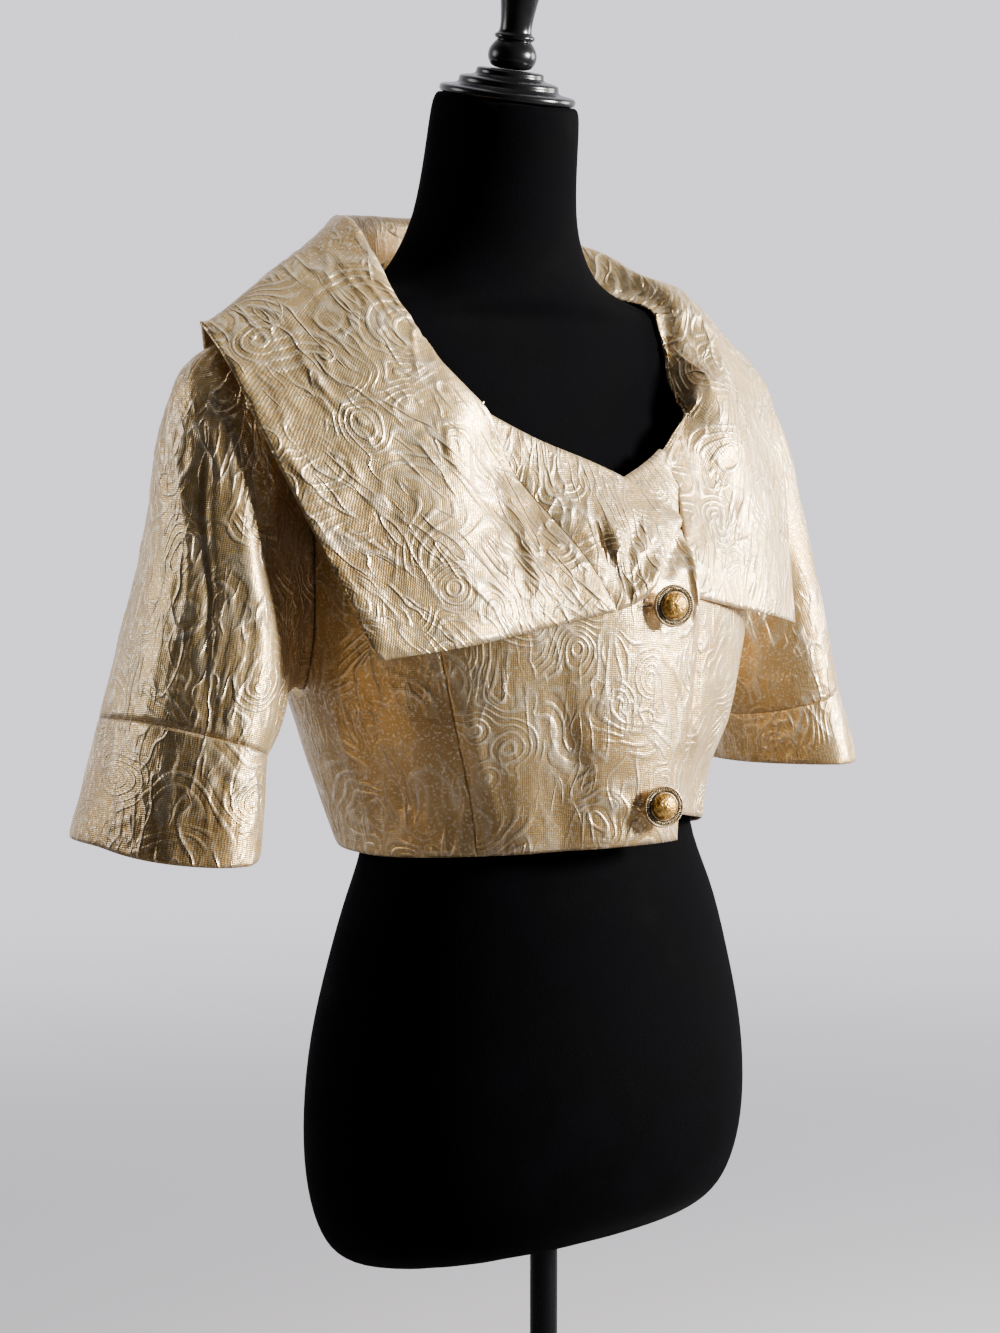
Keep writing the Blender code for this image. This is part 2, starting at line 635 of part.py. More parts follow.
def sleeve(side, armhole):
    # Sleeve from its armhole seam to the cuff seam, and the deep cuff below it.
    name = "left" if side > 0 else "right"
    start = resample(armhole, SLEEVE_SIDES)
    outward = np.array((side, 0, 0))
    rows = [start + outward * step for step in ARMHOLE_STEPS]
    rows += [sleeve_ring(side, ring) for ring in range(2, CUFF_RING)]
    seam = sleeve_ring(side, CUFF_RING)
    above, below = sleeve_ring(side, CUFF_RING - 0.1), sleeve_ring(side, CUFF_RING + 0.1)
    fall = (below - above) / np.linalg.norm(below - above, axis=1, keepdims=True)
    rows.append(seam - fall * SEAM_GAP / 2)
    wall("sleeve_" + name, rows, BROCADE, outward=side, around=True)
    cuff = [seam + fall * SEAM_GAP / 2]
    cuff += [sleeve_ring(side, ring) for ring in (8.5, 9.0, 9.5, 10.0)]
    wall("cuff_" + name, cuff, BROCADE, outward=side, around=True)


def curve_through(points, places):
    # Catmull-Rom curve through control points, at places counted in control points.
    points = np.array(points)
    ends = np.vstack((2 * points[0] - points[1], points, 2 * points[-1] - points[-2]))
    result = []
    for place in places:
        i = min(int(place), len(points) - 2)
        t = place - i
        a, b, c, d = ends[i], ends[i + 1], ends[i + 2], ends[i + 3]
        result.append(0.5 * ((2 * b) + (c - a) * t + (2 * a - 5 * b + 4 * c - d) * t * t
                             + (3 * b - a - 3 * c + d) * t ** 3))
    return np.array(result)


def collar_section(station, side):
    # Points from the neck seam up over the roll and down to the outer edge.
    row = {}
    for name in COLLAR:
        if name.startswith("edge"):
            row[name] = float(np.interp(station, COLLAR["station"], COLLAR[name]))
        else:
            row[name] = smooth(COLLAR, "station", name, station)
    neck = np.array([row["neck_" + axis] for axis in "xyz"])
    roll = np.array([row["roll_" + axis] for axis in "xyz"])
    edge = np.array([row["edge_" + axis] for axis in "xyz"])
    if side > 0:
        roll[2] -= row["left_drop"]
        neck[2] -= row["left_drop"] * LEFT_NECK_DROP_SHARE
        neck[0] += LEFT_NECK_IN * ramp(row["left_drop"], 0.0, 0.008)
        edge[2] += LEFT_CORNER_RAISE * (1.0 - ramp(station, 3, 5))
        edge[2] -= LEFT_SHOULDER_DROP * ramp(station, 6, 8) * (1.0 - ramp(station, 9, 11))
        edge[0] += row["left_in"]
    out = np.array((edge[0] - roll[0], edge[1] - roll[1], 0.0))
    out /= np.linalg.norm(out)
    size = row["roll_size"]
    up = np.array((0, 0, 1.0))
    fall = edge - roll
    lift = np.cross(np.cross(fall, up), fall)
    lift /= np.linalg.norm(lift)
    if lift @ (out + up) < 0:
        lift = -lift
    bulge = COLLAR_BULGE * ramp(station, 0, 3) * (1.0 - ramp(station, 4, 7))
    controls = []
    for i in range(len(COLLAR_CONTROLS["neck"])):
        share = {name: values[i] for name, values in COLLAR_CONTROLS.items()}
        point = neck * share["neck"] + roll * share["roll"] + edge * share["edge"]
        point = point + (out * share["out"] + up * share["up"]) * size
        controls.append(point + lift * (share["lift"] * ramp(station, 0, 1) + share["bulge"] * bulge))
    points = curve_through(controls, COLLAR_ROWS)
    points[:, 0] *= -side
    laid = 1.0 - ramp(station, 0.8, 2.2)
    surface = right_surface if side < 0 else left_surface
    for index, point in enumerate(points):
        weight = laid * ramp(COLLAR_ROWS[index], 4.0, 5.2)
        if weight > 0:
            points[index] = point * (1 - weight) + surface(point[0], point[2], COLLAR_LIFT) * weight
        if COLLAR_ROWS[index] > 3.4 and abs(point[0]) < CLEAR_REACH and point[1] < 0:
            x, _, z = points[index]
            normal = front_normal(x, z)
            sunk = (surface(x, z, COLLAR_LIFT) - points[index]) @ normal
            points[index] += normal * max(sunk, 0.0)
    return points


def collar():
    # One wide collar from gorge to gorge round the back of the neck.
    last = int(COLLAR["station"][-1])
    right = list(np.arange(0, COLLAR_FINE, 0.5)) + list(range(COLLAR_FINE, last + 1))
    sections = [collar_section(station, -1) for station in right]
    sections += [collar_section(station, 1) for station in right[-2::-1]]
    grid = np.array(sections).transpose(1, 0, 2)
    wall("collar", grid, BROCADE, outward=1.0)


def lapel(name, tab, surface, outward):
    # Turned-back front edge: it leaves the roll line in a small bend and lies on its front.
    grid = []
    for along in np.linspace(0, 1, LAPEL_COLUMNS):
        roll = np.array([smooth(tab, "along", "roll_" + axis, along) for axis in "xz"])
        edge = np.array([smooth(tab, "along", "edge_" + axis, along) for axis in "xz"])
        line = []
        for cross in LAPEL_ROWS:
            place = roll + (edge - roll) * cross
            raised = LAPEL_LIFT * min(1.0, 0.55 + cross * 12) + LAPEL_BULGE * math.sin(math.pi * cross)
            rise = LAPEL_ROLL_RISE * max(0.0, 1 - cross / LAPEL_ROLL_WIDTH)
            point = surface(place[0], place[1], raised)
            line.append(point + np.array((0, 0, rise)))
        grid.append(line)
    grid = np.array(grid).transpose(1, 0, 2)
    wall(name, grid, FACING, outward=outward, thickness=LAPEL_CLOTH)


def button(name, height):
    seat = right_surface(0.0, height, BUTTON_SEAT)
    turned(name, BUTTON_PROFILE, BUTTON_SIDES, GILT, seat, tilt=BUTTON_TILT, turn=-BUTTON_TURN)


def dress_form():
    rings = []
    for z in TORSO["z"]:
        row = {name: smooth(TORSO, "z", name, z) for name in TORSO if name != "z"}
        ring = []
        for i in range(FORM_SIDES):
            turn = 2 * math.pi * i / FORM_SIDES
            depth = row["front"] if math.cos(turn) > 0 else row["back"]
            out = -depth * signed_power(math.cos(turn), 2 / FORM_ROUND)
            x = row["half_width"] * signed_power(math.sin(turn), 2 / FORM_ROUND)
            ring.append((x, row["middle"] + out, z - row["lean"] * out))
        rings.append(ring)
    rings_solid("dress_form", rings, VELVET)


def stand():
    profile = (
        (BASE_RADIUS - BASE_EDGE * 0.5, 0.0),
        (BASE_RADIUS, BASE_EDGE * 0.5),
        (BASE_RADIUS, BASE_HEIGHT - BASE_EDGE),
        (BASE_RADIUS - BASE_EDGE * 0.3, BASE_HEIGHT - BASE_EDGE * 0.3),
        (BASE_RADIUS - BASE_EDGE, BASE_HEIGHT),
    )
    turned("stand_base", profile, BASE_SIDES, LACQUER, (0, 0, 0))
    rings = []
    for height in (BASE_HEIGHT + SEAM_GAP, None):
        ring = []
        for i in range(POLE_SIDES):
            angle = 2 * math.pi * i / POLE_SIDES
            x, y = POLE_RADIUS * math.cos(angle), POLE_Y + POLE_RADIUS * math.sin(angle)
            seat = TORSO["z"][0] + TORSO["lean"][0] * (TORSO["middle"][0] - y) - SEAM_GAP
            ring.append((x, y, seat if height is None else height))
        rings.append(ring)
    rings_solid("stand_pole", rings, STAND_METAL)


def neck_cap():
    tilt = math.atan(-NECK_LEAN)
    axis = np.array((0, -math.sin(tilt), math.cos(tilt)))
    place = np.array((0, NECK_MIDDLE, NECK_TOP)) + axis * SEAM_GAP
    turned("neck_cap", CAP_PROFILE, CAP_SIDES, LACQUER, place, tilt=tilt)
    turned("finial", FINIAL_PROFILE, FINIAL_SIDES, LACQUER, place, tilt=tilt)


armhole_fronts = {side: front_panel(side) for side in (-1, 1)}
armhole_floors = {side: side_panel(side) for side in (-1, 1)}
armhole_backs = back_panel()
for side in (-1, 1):
    down_front = armhole_fronts[side][::-1]
    up_back = armhole_backs[side]
    sleeve(side, down_front + list(armhole_floors[side][1:-1]) + up_back[:-1])
collar()
lapel("lapel_right", LAPEL, right_surface, 1.0)
lapel("lapel_left", LEFT_LAPEL, left_surface, -1.0)
for button_name, button_height in BUTTON_HEIGHTS.items():
    button(button_name, button_height)
dress_form()
neck_cap()
stand()
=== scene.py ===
# Looks of the short brocade jacket and its dress form: cloth, buttons, form, stand, light and camera.
import math

import bmesh
import bpy
import numpy as np
from mathutils import Matrix, Vector, noise
from mathutils.bvhtree import BVHTree
from mathutils.kdtree import KDTree


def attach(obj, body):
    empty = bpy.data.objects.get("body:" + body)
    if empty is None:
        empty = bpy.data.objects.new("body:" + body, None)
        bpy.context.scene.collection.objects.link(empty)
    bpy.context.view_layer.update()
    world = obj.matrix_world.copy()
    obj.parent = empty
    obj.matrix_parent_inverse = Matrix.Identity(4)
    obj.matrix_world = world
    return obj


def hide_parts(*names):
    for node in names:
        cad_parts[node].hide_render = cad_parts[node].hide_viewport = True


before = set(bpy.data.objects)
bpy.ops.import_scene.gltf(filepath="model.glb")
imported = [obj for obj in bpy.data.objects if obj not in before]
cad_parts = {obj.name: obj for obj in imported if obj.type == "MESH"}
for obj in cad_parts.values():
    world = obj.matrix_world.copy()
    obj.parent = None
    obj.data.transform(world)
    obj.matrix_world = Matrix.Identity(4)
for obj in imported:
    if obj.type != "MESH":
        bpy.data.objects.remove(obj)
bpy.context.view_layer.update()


# Camera: pixels below are those of a 1000 x 1333 image seen by it
cameraSettings = {
    "place": (-1.3181, -1.4737, 1.055),
    "turn": -41.03,
    "pitch": 4.587,
    "focalPixels": 2908,
    "imageWidth": 1000,
    "imageHeight": 1333,
    "sensor": 36.0,
}


def makeCamera(s):
    data = bpy.data.cameras.new("camera")
    data.sensor_width = s["sensor"]
    data.lens = s["focalPixels"] * s["sensor"] / s["imageHeight"]
    camera = bpy.data.objects.new("camera", data)
    camera.location = s["place"]
    camera.rotation_euler = (math.radians(90 - s["pitch"]), 0, math.radians(s["turn"]))
    bpy.context.scene.collection.objects.link(camera)
    bpy.context.scene.camera = camera
    bpy.context.view_layer.update()
    return camera


camera = makeCamera(cameraSettings)


def lineOfSight(x, y):
    # From the camera through one pixel: start and direction.
    s = cameraSettings
    along = Vector((x - s["imageWidth"] / 2, s["imageHeight"] / 2 - y, -s["focalPixels"]))
    return camera.location.copy(), (camera.matrix_world.to_3x3() @ along).normalized()


# Small helpers for meshes
def objectFrom(name, mesh, finish):
    piece = bpy.data.objects.new(name, mesh)
    mesh.materials.clear()
    mesh.materials.append(finish)
    bpy.context.scene.collection.objects.link(piece)
    mesh.shade_smooth()
    return piece


def pieceFrom(name, shape, finish):
    mesh = bpy.data.meshes.new(name)
    shape.to_mesh(mesh)
    shape.free()
    return objectFrom(name, mesh, finish)


def appliedMesh(piece):
    # The piece's mesh with its modifiers made real.
    graph = bpy.context.evaluated_depsgraph_get()
    mesh = bpy.data.meshes.new_from_object(piece.evaluated_get(graph))
    bpy.data.objects.remove(piece, do_unlink=True)
    return mesh


def smoother(mesh, levels):
    piece = bpy.data.objects.new("work", mesh)
    bpy.context.scene.collection.objects.link(piece)
    rounding = piece.modifiers.new("rounding", "SUBSURF")
    rounding.levels = rounding.render_levels = levels
    rounding.boundary_smooth = "PRESERVE_CORNERS"
    bpy.context.view_layer.update()
    return appliedMesh(piece)


def nodeCopy(node):
    # A CAD node's mesh, merged from its loose triangles.
    shape = bmesh.new()
    shape.from_mesh(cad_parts[node].data)
    bmesh.ops.remove_doubles(shape, verts=shape.verts, dist=2e-5)
    return shape


def toQuads(shape):
    # Flat pairs of triangles become quads.
    bmesh.ops.join_triangles(
        shape, faces=shape.faces,
        angle_face_threshold=math.radians(70), angle_shape_threshold=math.radians(170),
    )


def keepCorners(shape, turn=math.radians(28)):
    # Corners of a cut edge stay sharp when the cloth is rounded.
    layer = shape.verts.layers.float.new("crease_vert")
    for vert in shape.verts:
        rim = [e for e in vert.link_edges if e.is_boundary]
        if len(rim) == 2:
            a, b = (e.other_vert(vert).co - vert.co for e in rim)
            vert[layer] = float(math.pi - a.angle(b) > turn)


def outerSkin(node, anchor, foldLimit):
    # Only the outer face of a cloth wall, as quads: its rim and inner face are taken off.
    shape = nodeCopy(node)
    left, skins = set(shape.faces), []
    while left:
        skin, front = set(), [left.pop()]
        while front:
            face = front.pop()
            skin.add(face)
            for edge in face.edges:
                if edge.calc_face_angle() < foldLimit:
                    near = left.intersection(edge.link_faces)
                    left -= near
                    front.extend(near)
        skins.append(skin)
    skins.sort(key=len, reverse=True)

    def outward(skin):
        return sum(f.calc_area() * f.normal.dot(f.calc_center_median() - anchor) for f in skin)

    outer = max(skins[:2], key=outward)
    bmesh.ops.delete(shape, geom=[f for f in shape.faces if f not in outer], context="FACES")
    bmesh.ops.holes_fill(shape, edges=[e for e in shape.edges if e.is_boundary], sides=6)
    print("skin of", node, "has", len(shape.faces), "faces of", len(skins[0]), len(skins[1]))
    toQuads(shape)
    keepCorners(shape)
    return shape


def softStep(value, low, high):
    t = np.clip((value - low) / (high - low), 0.0, 1.0)
    return t * t * (3 - 2 * t)


def noiseAt(points):
    return np.array([noise.noise(p) for p in points.tolist()])


def ridges(points, sharp, narrow=2.2):
    # Thin raised lines where the noise crosses zero.
    return (1.0 - np.minimum(np.abs(noiseAt(points)) * narrow, 1.0)) ** sharp


def rimTree(mesh):
    # Points of a mesh's cut edges.
    uses = {}
    for face in mesh.polygons:
        for key in face.edge_keys:
            uses[key] = uses.get(key, 0) + 1
    ends = {i for key, count in uses.items() if count == 1 for i in key}
    tree = KDTree(len(ends))
    for i in ends:
        tree.insert(mesh.vertices[i].co, i)
    tree.balance()
    return tree


def surfaceTree(mesh):
    return BVHTree.FromPolygons([v.co for v in mesh.vertices], [f.vertices[:] for f in mesh.polygons])


jacket = {}  # the finished cloth pieces by the name of their CAD node


# Neck edge of the collar on the wearer's left: where it is eased down, and over what lengths that fades
settleSettings = {
    "middle": 0.03,
    "edgeRadius": 0.150,
    "edgeFrom": 1.03,
    "radius": 0.165,
    "from": 1.02,
    "reach": 0.034,
    "clear": 0.0035,
    "heightFade": (0.028, 0.040),
    "necklineFade": (0.012, 0.026),
    "formFrom": (1.065, 1.105),
    "sideFrom": (0.02, 0.06),
}


def settled(p, gap):
    # The collar's neck edge comes down to the left front's neckline, or to the form higher up.
    s = settleSettings
    shape = nodeCopy("dress_form")
    form = BVHTree.FromBMesh(shape)
    shape.free()
    front = rimTree(jacket["front_left"].data)
    away = np.hypot(p[:, 0], p[:, 1] - s["middle"])
    neck = np.flatnonzero((gap < 1e-6) & (away < s["edgeRadius"]) & (p[:, 2] > s["edgeFrom"]))
    edge = KDTree(len(neck))
    for i in neck.tolist():
        edge.insert(p[i], i)
    edge.balance()
    result = p.copy()
    for i in np.flatnonzero((p[:, 0] > 0.0) & (away < s["radius"]) & (p[:, 2] > s["from"])).tolist():
        point = p[i].tolist()
        seam = edge.find(point)[2]
        if seam < s["reach"]:
            near, normal, _, height = form.find_nearest(point)
            down = np.array(near) + np.array(normal) * s["clear"] - p[i]
            down *= 1 - softStep(height, *s["heightFade"])
            line, _, far = front.find(point)
            onto = (np.array(line) - p[i]) * (1 - softStep(far, *s["necklineFade"]))
            share = softStep(p[i, 2], *s["formFrom"])
            move = (onto * (1 - share) + down * share) * softStep(p[i, 0], *s["sideFrom"])
            result[i] += move * (1 - softStep(seam, 0.0, s["reach"]))
    return result


# Where the cloth's grain runs on each kind of piece: (across, along) in metres
grainSettings = {
    "bodyMiddle": 0.02,
    "bodyRadius": 0.155,
    "sleeveTop": (0.212, 0.045, 1.04),
    "sleeveLow": (0.272, 0.037, 0.80),
    "sleeveRadius": 0.060,
    "collarMiddle": 0.03,
    "collarInside": 0.115,
    "collarRadius": 0.19,
    "rollHeight": 1.18,
    "rollDip": 0.205,
    "rollTurn": 0.9,
}


def bodyGrain(p):
    s = grainSettings
    turn = np.arctan2(p[:, 0], -(p[:, 1] - s["bodyMiddle"]))
    return np.stack((turn * s["bodyRadius"], p[:, 2]), axis=1)


def sleeveGrain(p):
    s = grainSettings
    side = np.array((np.sign(p[:, 0].mean()), 1.0, 1.0))
    top, low = side * s["sleeveTop"], side * s["sleeveLow"]
    down = (low - top) / np.linalg.norm(low - top)
    off = p - top
    along = off @ down
    off = off - np.outer(along, down)
    turn = np.arctan2(off[:, 0] * side[0], -off[:, 1])
    return np.stack((turn * s["sleeveRadius"], -along), axis=1)


def collarGrain(p):
    s = grainSettings
    turn = np.arctan2(p[:, 0], -(p[:, 1] - s["collarMiddle"]))
    reach = np.hypot(p[:, 0], p[:, 1] - s["collarMiddle"])
    roll = s["rollHeight"] - s["rollDip"] * np.exp(-(turn / s["rollTurn"]) ** 2)
    return np.stack((np.hypot(reach - s["collarInside"], p[:, 2] - roll), turn * s["collarRadius"]), axis=1)


# Brocade: tone on tone, scrolls of parallel lines over ribs of weft, puckered into fine wrinkles; its colour
# holds painted shade between the threads and painted glints on specks and wrinkle crests.
# Scales are in cells a metre; a patch is (scale, from, to) of the noise that lays it out.
brocadeSettings = {
    "ground": (0.56, 0.385, 0.17),
    "raised": (0.71, 0.575, 0.36),
    # Darker tone in random patches, and painted shade between the threads
    "shade": (0.33, 0.19, 0.055),
    # Colour of the painted glints and of the painted highlight on the wrinkle crests
    "paintedGlint": (0.88, 0.80, 0.64),
    "lineSpacing": 0.0044,
    "lineRelief": 0.00038,
    "scrollSize": 0.038,
    "swirlScale": 16.0,
    "swirlReach": 0.042,
    "waveScale": 14.0,
    "waveTurns": 105.0,
    "ringPatch": (19.0, 0.46, 0.54),
    "plainPatch": (30.0, 0.40, 0.55),
    "plainRelief": 0.10,
    "weftSpacing": 0.0012,
    "warpSpacing": 0.00156,
    "warpShare": 0.6,
    "strayScale": 260.0,
    "strayTurns": (6.0, 9.0),
    "ribRelief": 0.00012,
    "wrinkleSize": 0.0085,
    "wrinkleStretch": 3.4,
    "wrinkleWidth": 0.085,
    "wrinkleSharp": 1.6,
    "wrinkleBend": (48.0, 0.75),
    "wrinklePatch": (24.0, 0.46, 0.60),
    "wrinkleLayers": ((1.0, 0.0, 0.0), (1.7, 0.35, 3.7), (1.3, -0.40, 8.1)),
    # Painted highlight on the wrinkle crests, as a share of the glint colour
    "paintedWrinkleHighlight": 0.35,
    "lumpScale": 70.0,
    "lumpShare": 1.6,
    "shadePatch": (12.0, 0.42, 0.66),
    "shadeShare": 0.62,
    # Painted shade between the threads: how much darker the gaps between the ribs get
    "paintedShadeBetweenThreads": 0.30,
    "glintScale": 520.0,
    "glintFrom": (0.55, 0.72),
    "paintedGlintShare": 0.65,
    "metallic": (0.62, 0.92),
    "roughness": (0.46, 0.32),
    "sheen": 0.08,
    "sheenRoughness": 0.4,
}


class NodeBoard:
    # Adds nodes to a material or to the world and joins them in one line each.
    def __init__(self, owner):
        owner.use_nodes = True
        self.tree = owner.node_tree
        self.shader = self.tree.nodes.get("Principled BSDF")

    def add(self, kind, inputs=None, **values):
        node = self.tree.nodes.new(kind)
        for key, value in values.items():
            setattr(node, key, value)
        for key, value in (inputs or {}).items():
            if isinstance(value, bpy.types.NodeSocket):
                self.tree.links.new(value, node.inputs[key])
            else:
                node.inputs[key].default_value = value
        return node

    def calc(self, how, a, b=0.0):
        return self.add("ShaderNodeMath", {0: a, 1: b}, operation=how).outputs[0]

    def vector(self, how, a, inputs, output=0):
        return self.add("ShaderNodeVectorMath", {0: a, **inputs}, operation=how).outputs[output]

    def cloud(self, place, scale, detail, output=0):
        noiseInputs = {"Vector": place, "Scale": scale, "Detail": detail}
        return self.add("ShaderNodeTexNoise", noiseInputs).outputs[output]

    def mix(self, share, a, b):
        return self.add("ShaderNodeMix", {0: share, 2: a, 3: b}, data_type="FLOAT").outputs[0]

    def spread(self, value, low, high, newLow=0.0, newHigh=1.0):
        node = self.add("ShaderNodeMapRange", {0: value, 1: low, 2: high, 3: newLow, 4: newHigh})
        node.clamp = True
        return node.outputs[0]

    def blend(self, share, a, b):
        a, b = (c if isinstance(c, bpy.types.NodeSocket) else (*c, 1.0) for c in (a, b))
        return self.add("ShaderNodeMix", {0: share, 6: a, 7: b}, data_type="RGBA").outputs[2]

    def drive(self, name, value):
        self.tree.links.new(value, self.shader.inputs[name])

    def emboss(self, height, distance=1.0):
        self.drive("Normal", self.add("ShaderNodeBump", {"Height": height, "Distance": distance}).outputs[0])


def patch(board, place, detail, settings, low=0.0, high=1.0):
    # Soft patches of noise, from low outside them to high inside.
    scale, start, end = settings
    return board.spread(board.cloud(place, scale, detail), start, end, low, high)


def scrollLines(board, moved, s):
    # Nested lines round warped cells, and drifting lines between them: 1 on a line, 0 off it.
    swirl = board.cloud(moved, s["swirlScale"], 1.0, "Color")
    push = board.vector("SCALE", swirl, {3: s["swirlReach"]})
    warped = board.vector("ADD", moved, {1: push})
    cells = board.add("ShaderNodeTexVoronoi", {
        "Vector": warped, "Scale": 1 / s["scrollSize"], "Smoothness": 0.35,
    }, feature="SMOOTH_F1")
    turns = 2 * math.pi * s["scrollSize"] / s["lineSpacing"]
    rings = board.calc("SINE", board.calc("MULTIPLY", cells.outputs["Distance"], turns))
    bands = board.cloud(warped, s["waveScale"], 0.0)
    waves = board.calc("SINE", board.calc("MULTIPLY", bands, s["waveTurns"]))
    lines = board.mix(patch(board, moved, 0.0, s["ringPatch"]), waves, rings)
    plain = patch(board, moved, 1.0, s["plainPatch"], s["plainRelief"])
    return board.calc("MULTIPLY", board.spread(lines, 0.0, 0.95), plain)


def wrinkleLines(board, grain, moved, s):
    # Sharp little puckers that wander along the grain, in patches.
    result = None
    bendScale, bendReach = s["wrinkleBend"]
    for size, lean, seed in s["wrinkleLayers"]:
        across = s["wrinkleSize"] * size
        flow = board.add("ShaderNodeMapping", {
            0: grain, 1: (seed, seed, seed), 2: (0.0, 0.0, lean),
            3: (1 / across, 1 / (across * s["wrinkleStretch"]), 1.0),
        }).outputs[0]
        bend = board.cloud(moved, bendScale / size, 1.0, "Color")
        flow = board.vector("ADD", flow, {1: board.vector("SCALE", bend, {3: bendReach})})
        fold = board.cloud(flow, 1.0, 0.0)
        away = board.calc("ABSOLUTE", board.calc("SUBTRACT", fold, 0.5))
        ridge = board.calc("POWER", board.spread(away, 0.0, s["wrinkleWidth"], 1.0, 0.0), s["wrinkleSharp"])
        place = board.add("ShaderNodeMapping", {0: moved, 1: (seed, 0.3, seed)}).outputs[0]
        ridge = board.calc("MULTIPLY", ridge, patch(board, place, 1.0, s["wrinklePatch"]))
        result = ridge if result is None else board.calc("MAXIMUM", result, ridge)
    return result


def threadRibs(board, grain, moved, s):
    # Ribs of weft across the grain, broken by the warp: 0 between threads, 1 on them.
    axes = board.add("ShaderNodeSeparateXYZ", {0: grain})
    stray = board.cloud(moved, s["strayScale"], 2.0)
    waves = []
    for axis, spacing, turns in zip((1, 0), (s["weftSpacing"], s["warpSpacing"]), s["strayTurns"]):
        along = board.calc("MULTIPLY", axes.outputs[axis], 2 * math.pi / spacing)
        waves.append(board.calc("SINE", board.calc("ADD", along, board.calc("MULTIPLY", stray, turns))))
    ribs = board.calc("ADD", waves[0], board.calc("MULTIPLY", waves[1], s["warpShare"]))
    return board.spread(ribs, -1.4, 1.4)


def brocade(name, shift, wrinkle):
    s = brocadeSettings
    finish = bpy.data.materials.new(name)
    board = NodeBoard(finish)
    place = board.add("ShaderNodeTexCoord").outputs["Object"]
    grain = board.add("ShaderNodeUVMap", uv_map="grain").outputs[0]
    moved = board.add("ShaderNodeMapping", {0: place, 1: shift}).outputs[0]
    raised = scrollLines(board, moved, s)
    wrinkles = wrinkleLines(board, grain, moved, s)
    threads = threadRibs(board, grain, moved, s)
    lumps = board.cloud(moved, s["lumpScale"], 2.0)
    height = board.calc("MULTIPLY", raised, s["lineRelief"])
    for layer, relief in ((threads, s["ribRelief"]), (wrinkles, wrinkle), (lumps, wrinkle * s["lumpShare"])):
        height = board.calc("ADD", height, board.calc("MULTIPLY", layer, relief))
    board.emboss(height)
    colour = board.blend(raised, s["ground"], s["raised"])
    colour = board.blend(patch(board, moved, 4.0, s["shadePatch"], 0.0, s["shadeShare"]), colour, s["shade"])
    # Painted shade: the colour goes darker between the ribs of thread.
    colour = board.blend(board.spread(threads, 0.0, 0.45, s["paintedShadeBetweenThreads"], 0.0), colour, s["shade"])
    # Painted glints: pale specks of glint colour in the cloth's colour; the same noise makes those specks
    # smoother.
    glints = board.cloud(moved, s["glintScale"], 1.0)
    colour = board.blend(board.spread(glints, *s["glintFrom"], 0.0, s["paintedGlintShare"]), colour, s["paintedGlint"])
    # Painted highlight: the crests of the wrinkles are made paler.
    colour = board.blend(board.calc("MULTIPLY", wrinkles, s["paintedWrinkleHighlight"]), colour, s["paintedGlint"])
    board.drive("Base Color", colour)
    board.drive("Metallic", board.spread(threads, 0.0, 1.0, *s["metallic"]))
    board.drive("Roughness", board.spread(glints, 0.35, 0.70, *s["roughness"]))
    board.shader.inputs["Sheen Weight"].default_value = s["sheen"]
    board.shader.inputs["Sheen Roughness"].default_value = s["sheenRoughness"]
    return finish


# Cloth pieces. Each has its own dictionary below:
# crinkles are (size, stretch along the grain, sharpness, height, seed),
# creases are (pixels of the photograph's view, width, height), in metres but for the pixels.
clothSettings = {
    "levels": 3,
    "thickness": 0.0017,
    "foldLimit": 66,
    "edgeFade": 0.007,
    "seamDip": 0.0006,
    "seamWidth": 0.0016,
    "bendSize": 0.05,
    "bendReach": 0.9,
    "patchSize": 0.06,
    "patchFrom": (-0.15, 0.35),
    "swells": ((0.045, 0.0010, 2.0), (0.018, 0.0004, 5.0)),
}


def creaseShape(p, line, width, height, tree):
    # Soft ridge or trough along a line of pixels, laid on the piece; it fades at both ends.
    hits = [tree.ray_cast(*lineOfSight(x, y))[0] for x, y in line]
    points = [np.array(hit) for hit in hits if hit is not None]
    result = np.zeros(len(p))
    if len(points) < 2:
        print("crease missed the cloth", line[0])
        return result
    total = sum(np.linalg.norm(b - a) for a, b in zip(points, points[1:]))
    done = 0.0
    for a, b in zip(points, points[1:]):
        span = b - a
        length = np.linalg.norm(span)
        t = np.clip((p - a) @ span / length ** 2, 0.0, 1.0)
        away = np.linalg.norm(p - (a + np.outer(t, span)), axis=1)
        place = np.clip((done + t * length) / total, 0.02, 0.98)
        value = np.exp(-(away / width) ** 2) * np.sin(np.pi * place) ** 0.6 * height
        result = np.where(np.abs(value) > np.abs(result), value, result)
        done += length
    return result


def clothLift(s, p, grain, gap, tree):
    # How far each point stands out of the smooth cloth; gap is its distance from the cut edge.
    c = clothSettings
    lift = np.zeros(len(p))
    for size, stretch, sharp, height, seed in s["crinkles"]:
        flow = np.stack((grain[:, 0] / size, grain[:, 1] / (size * stretch), np.full(len(p), seed)), axis=1)
        bend = p / c["bendSize"] + seed
        flow[:, :2] += np.stack((noiseAt(bend), noiseAt(bend + 7)), axis=1) * c["bendReach"]
        where = softStep(noiseAt(p / c["patchSize"] + seed * 3), *c["patchFrom"])
        lift += ridges(flow, sharp) * where * height
    for size, height, seed in c["swells"]:
        lift += noiseAt(p / size + seed) * height
    lift *= softStep(gap, 0.0, c["edgeFade"])
    for line, width, height in s.get("creases", ()):
        lift += creaseShape(p, line, width, height, tree)
    return lift - c["seamDip"] * np.exp(-(gap / c["seamWidth"]) ** 2)


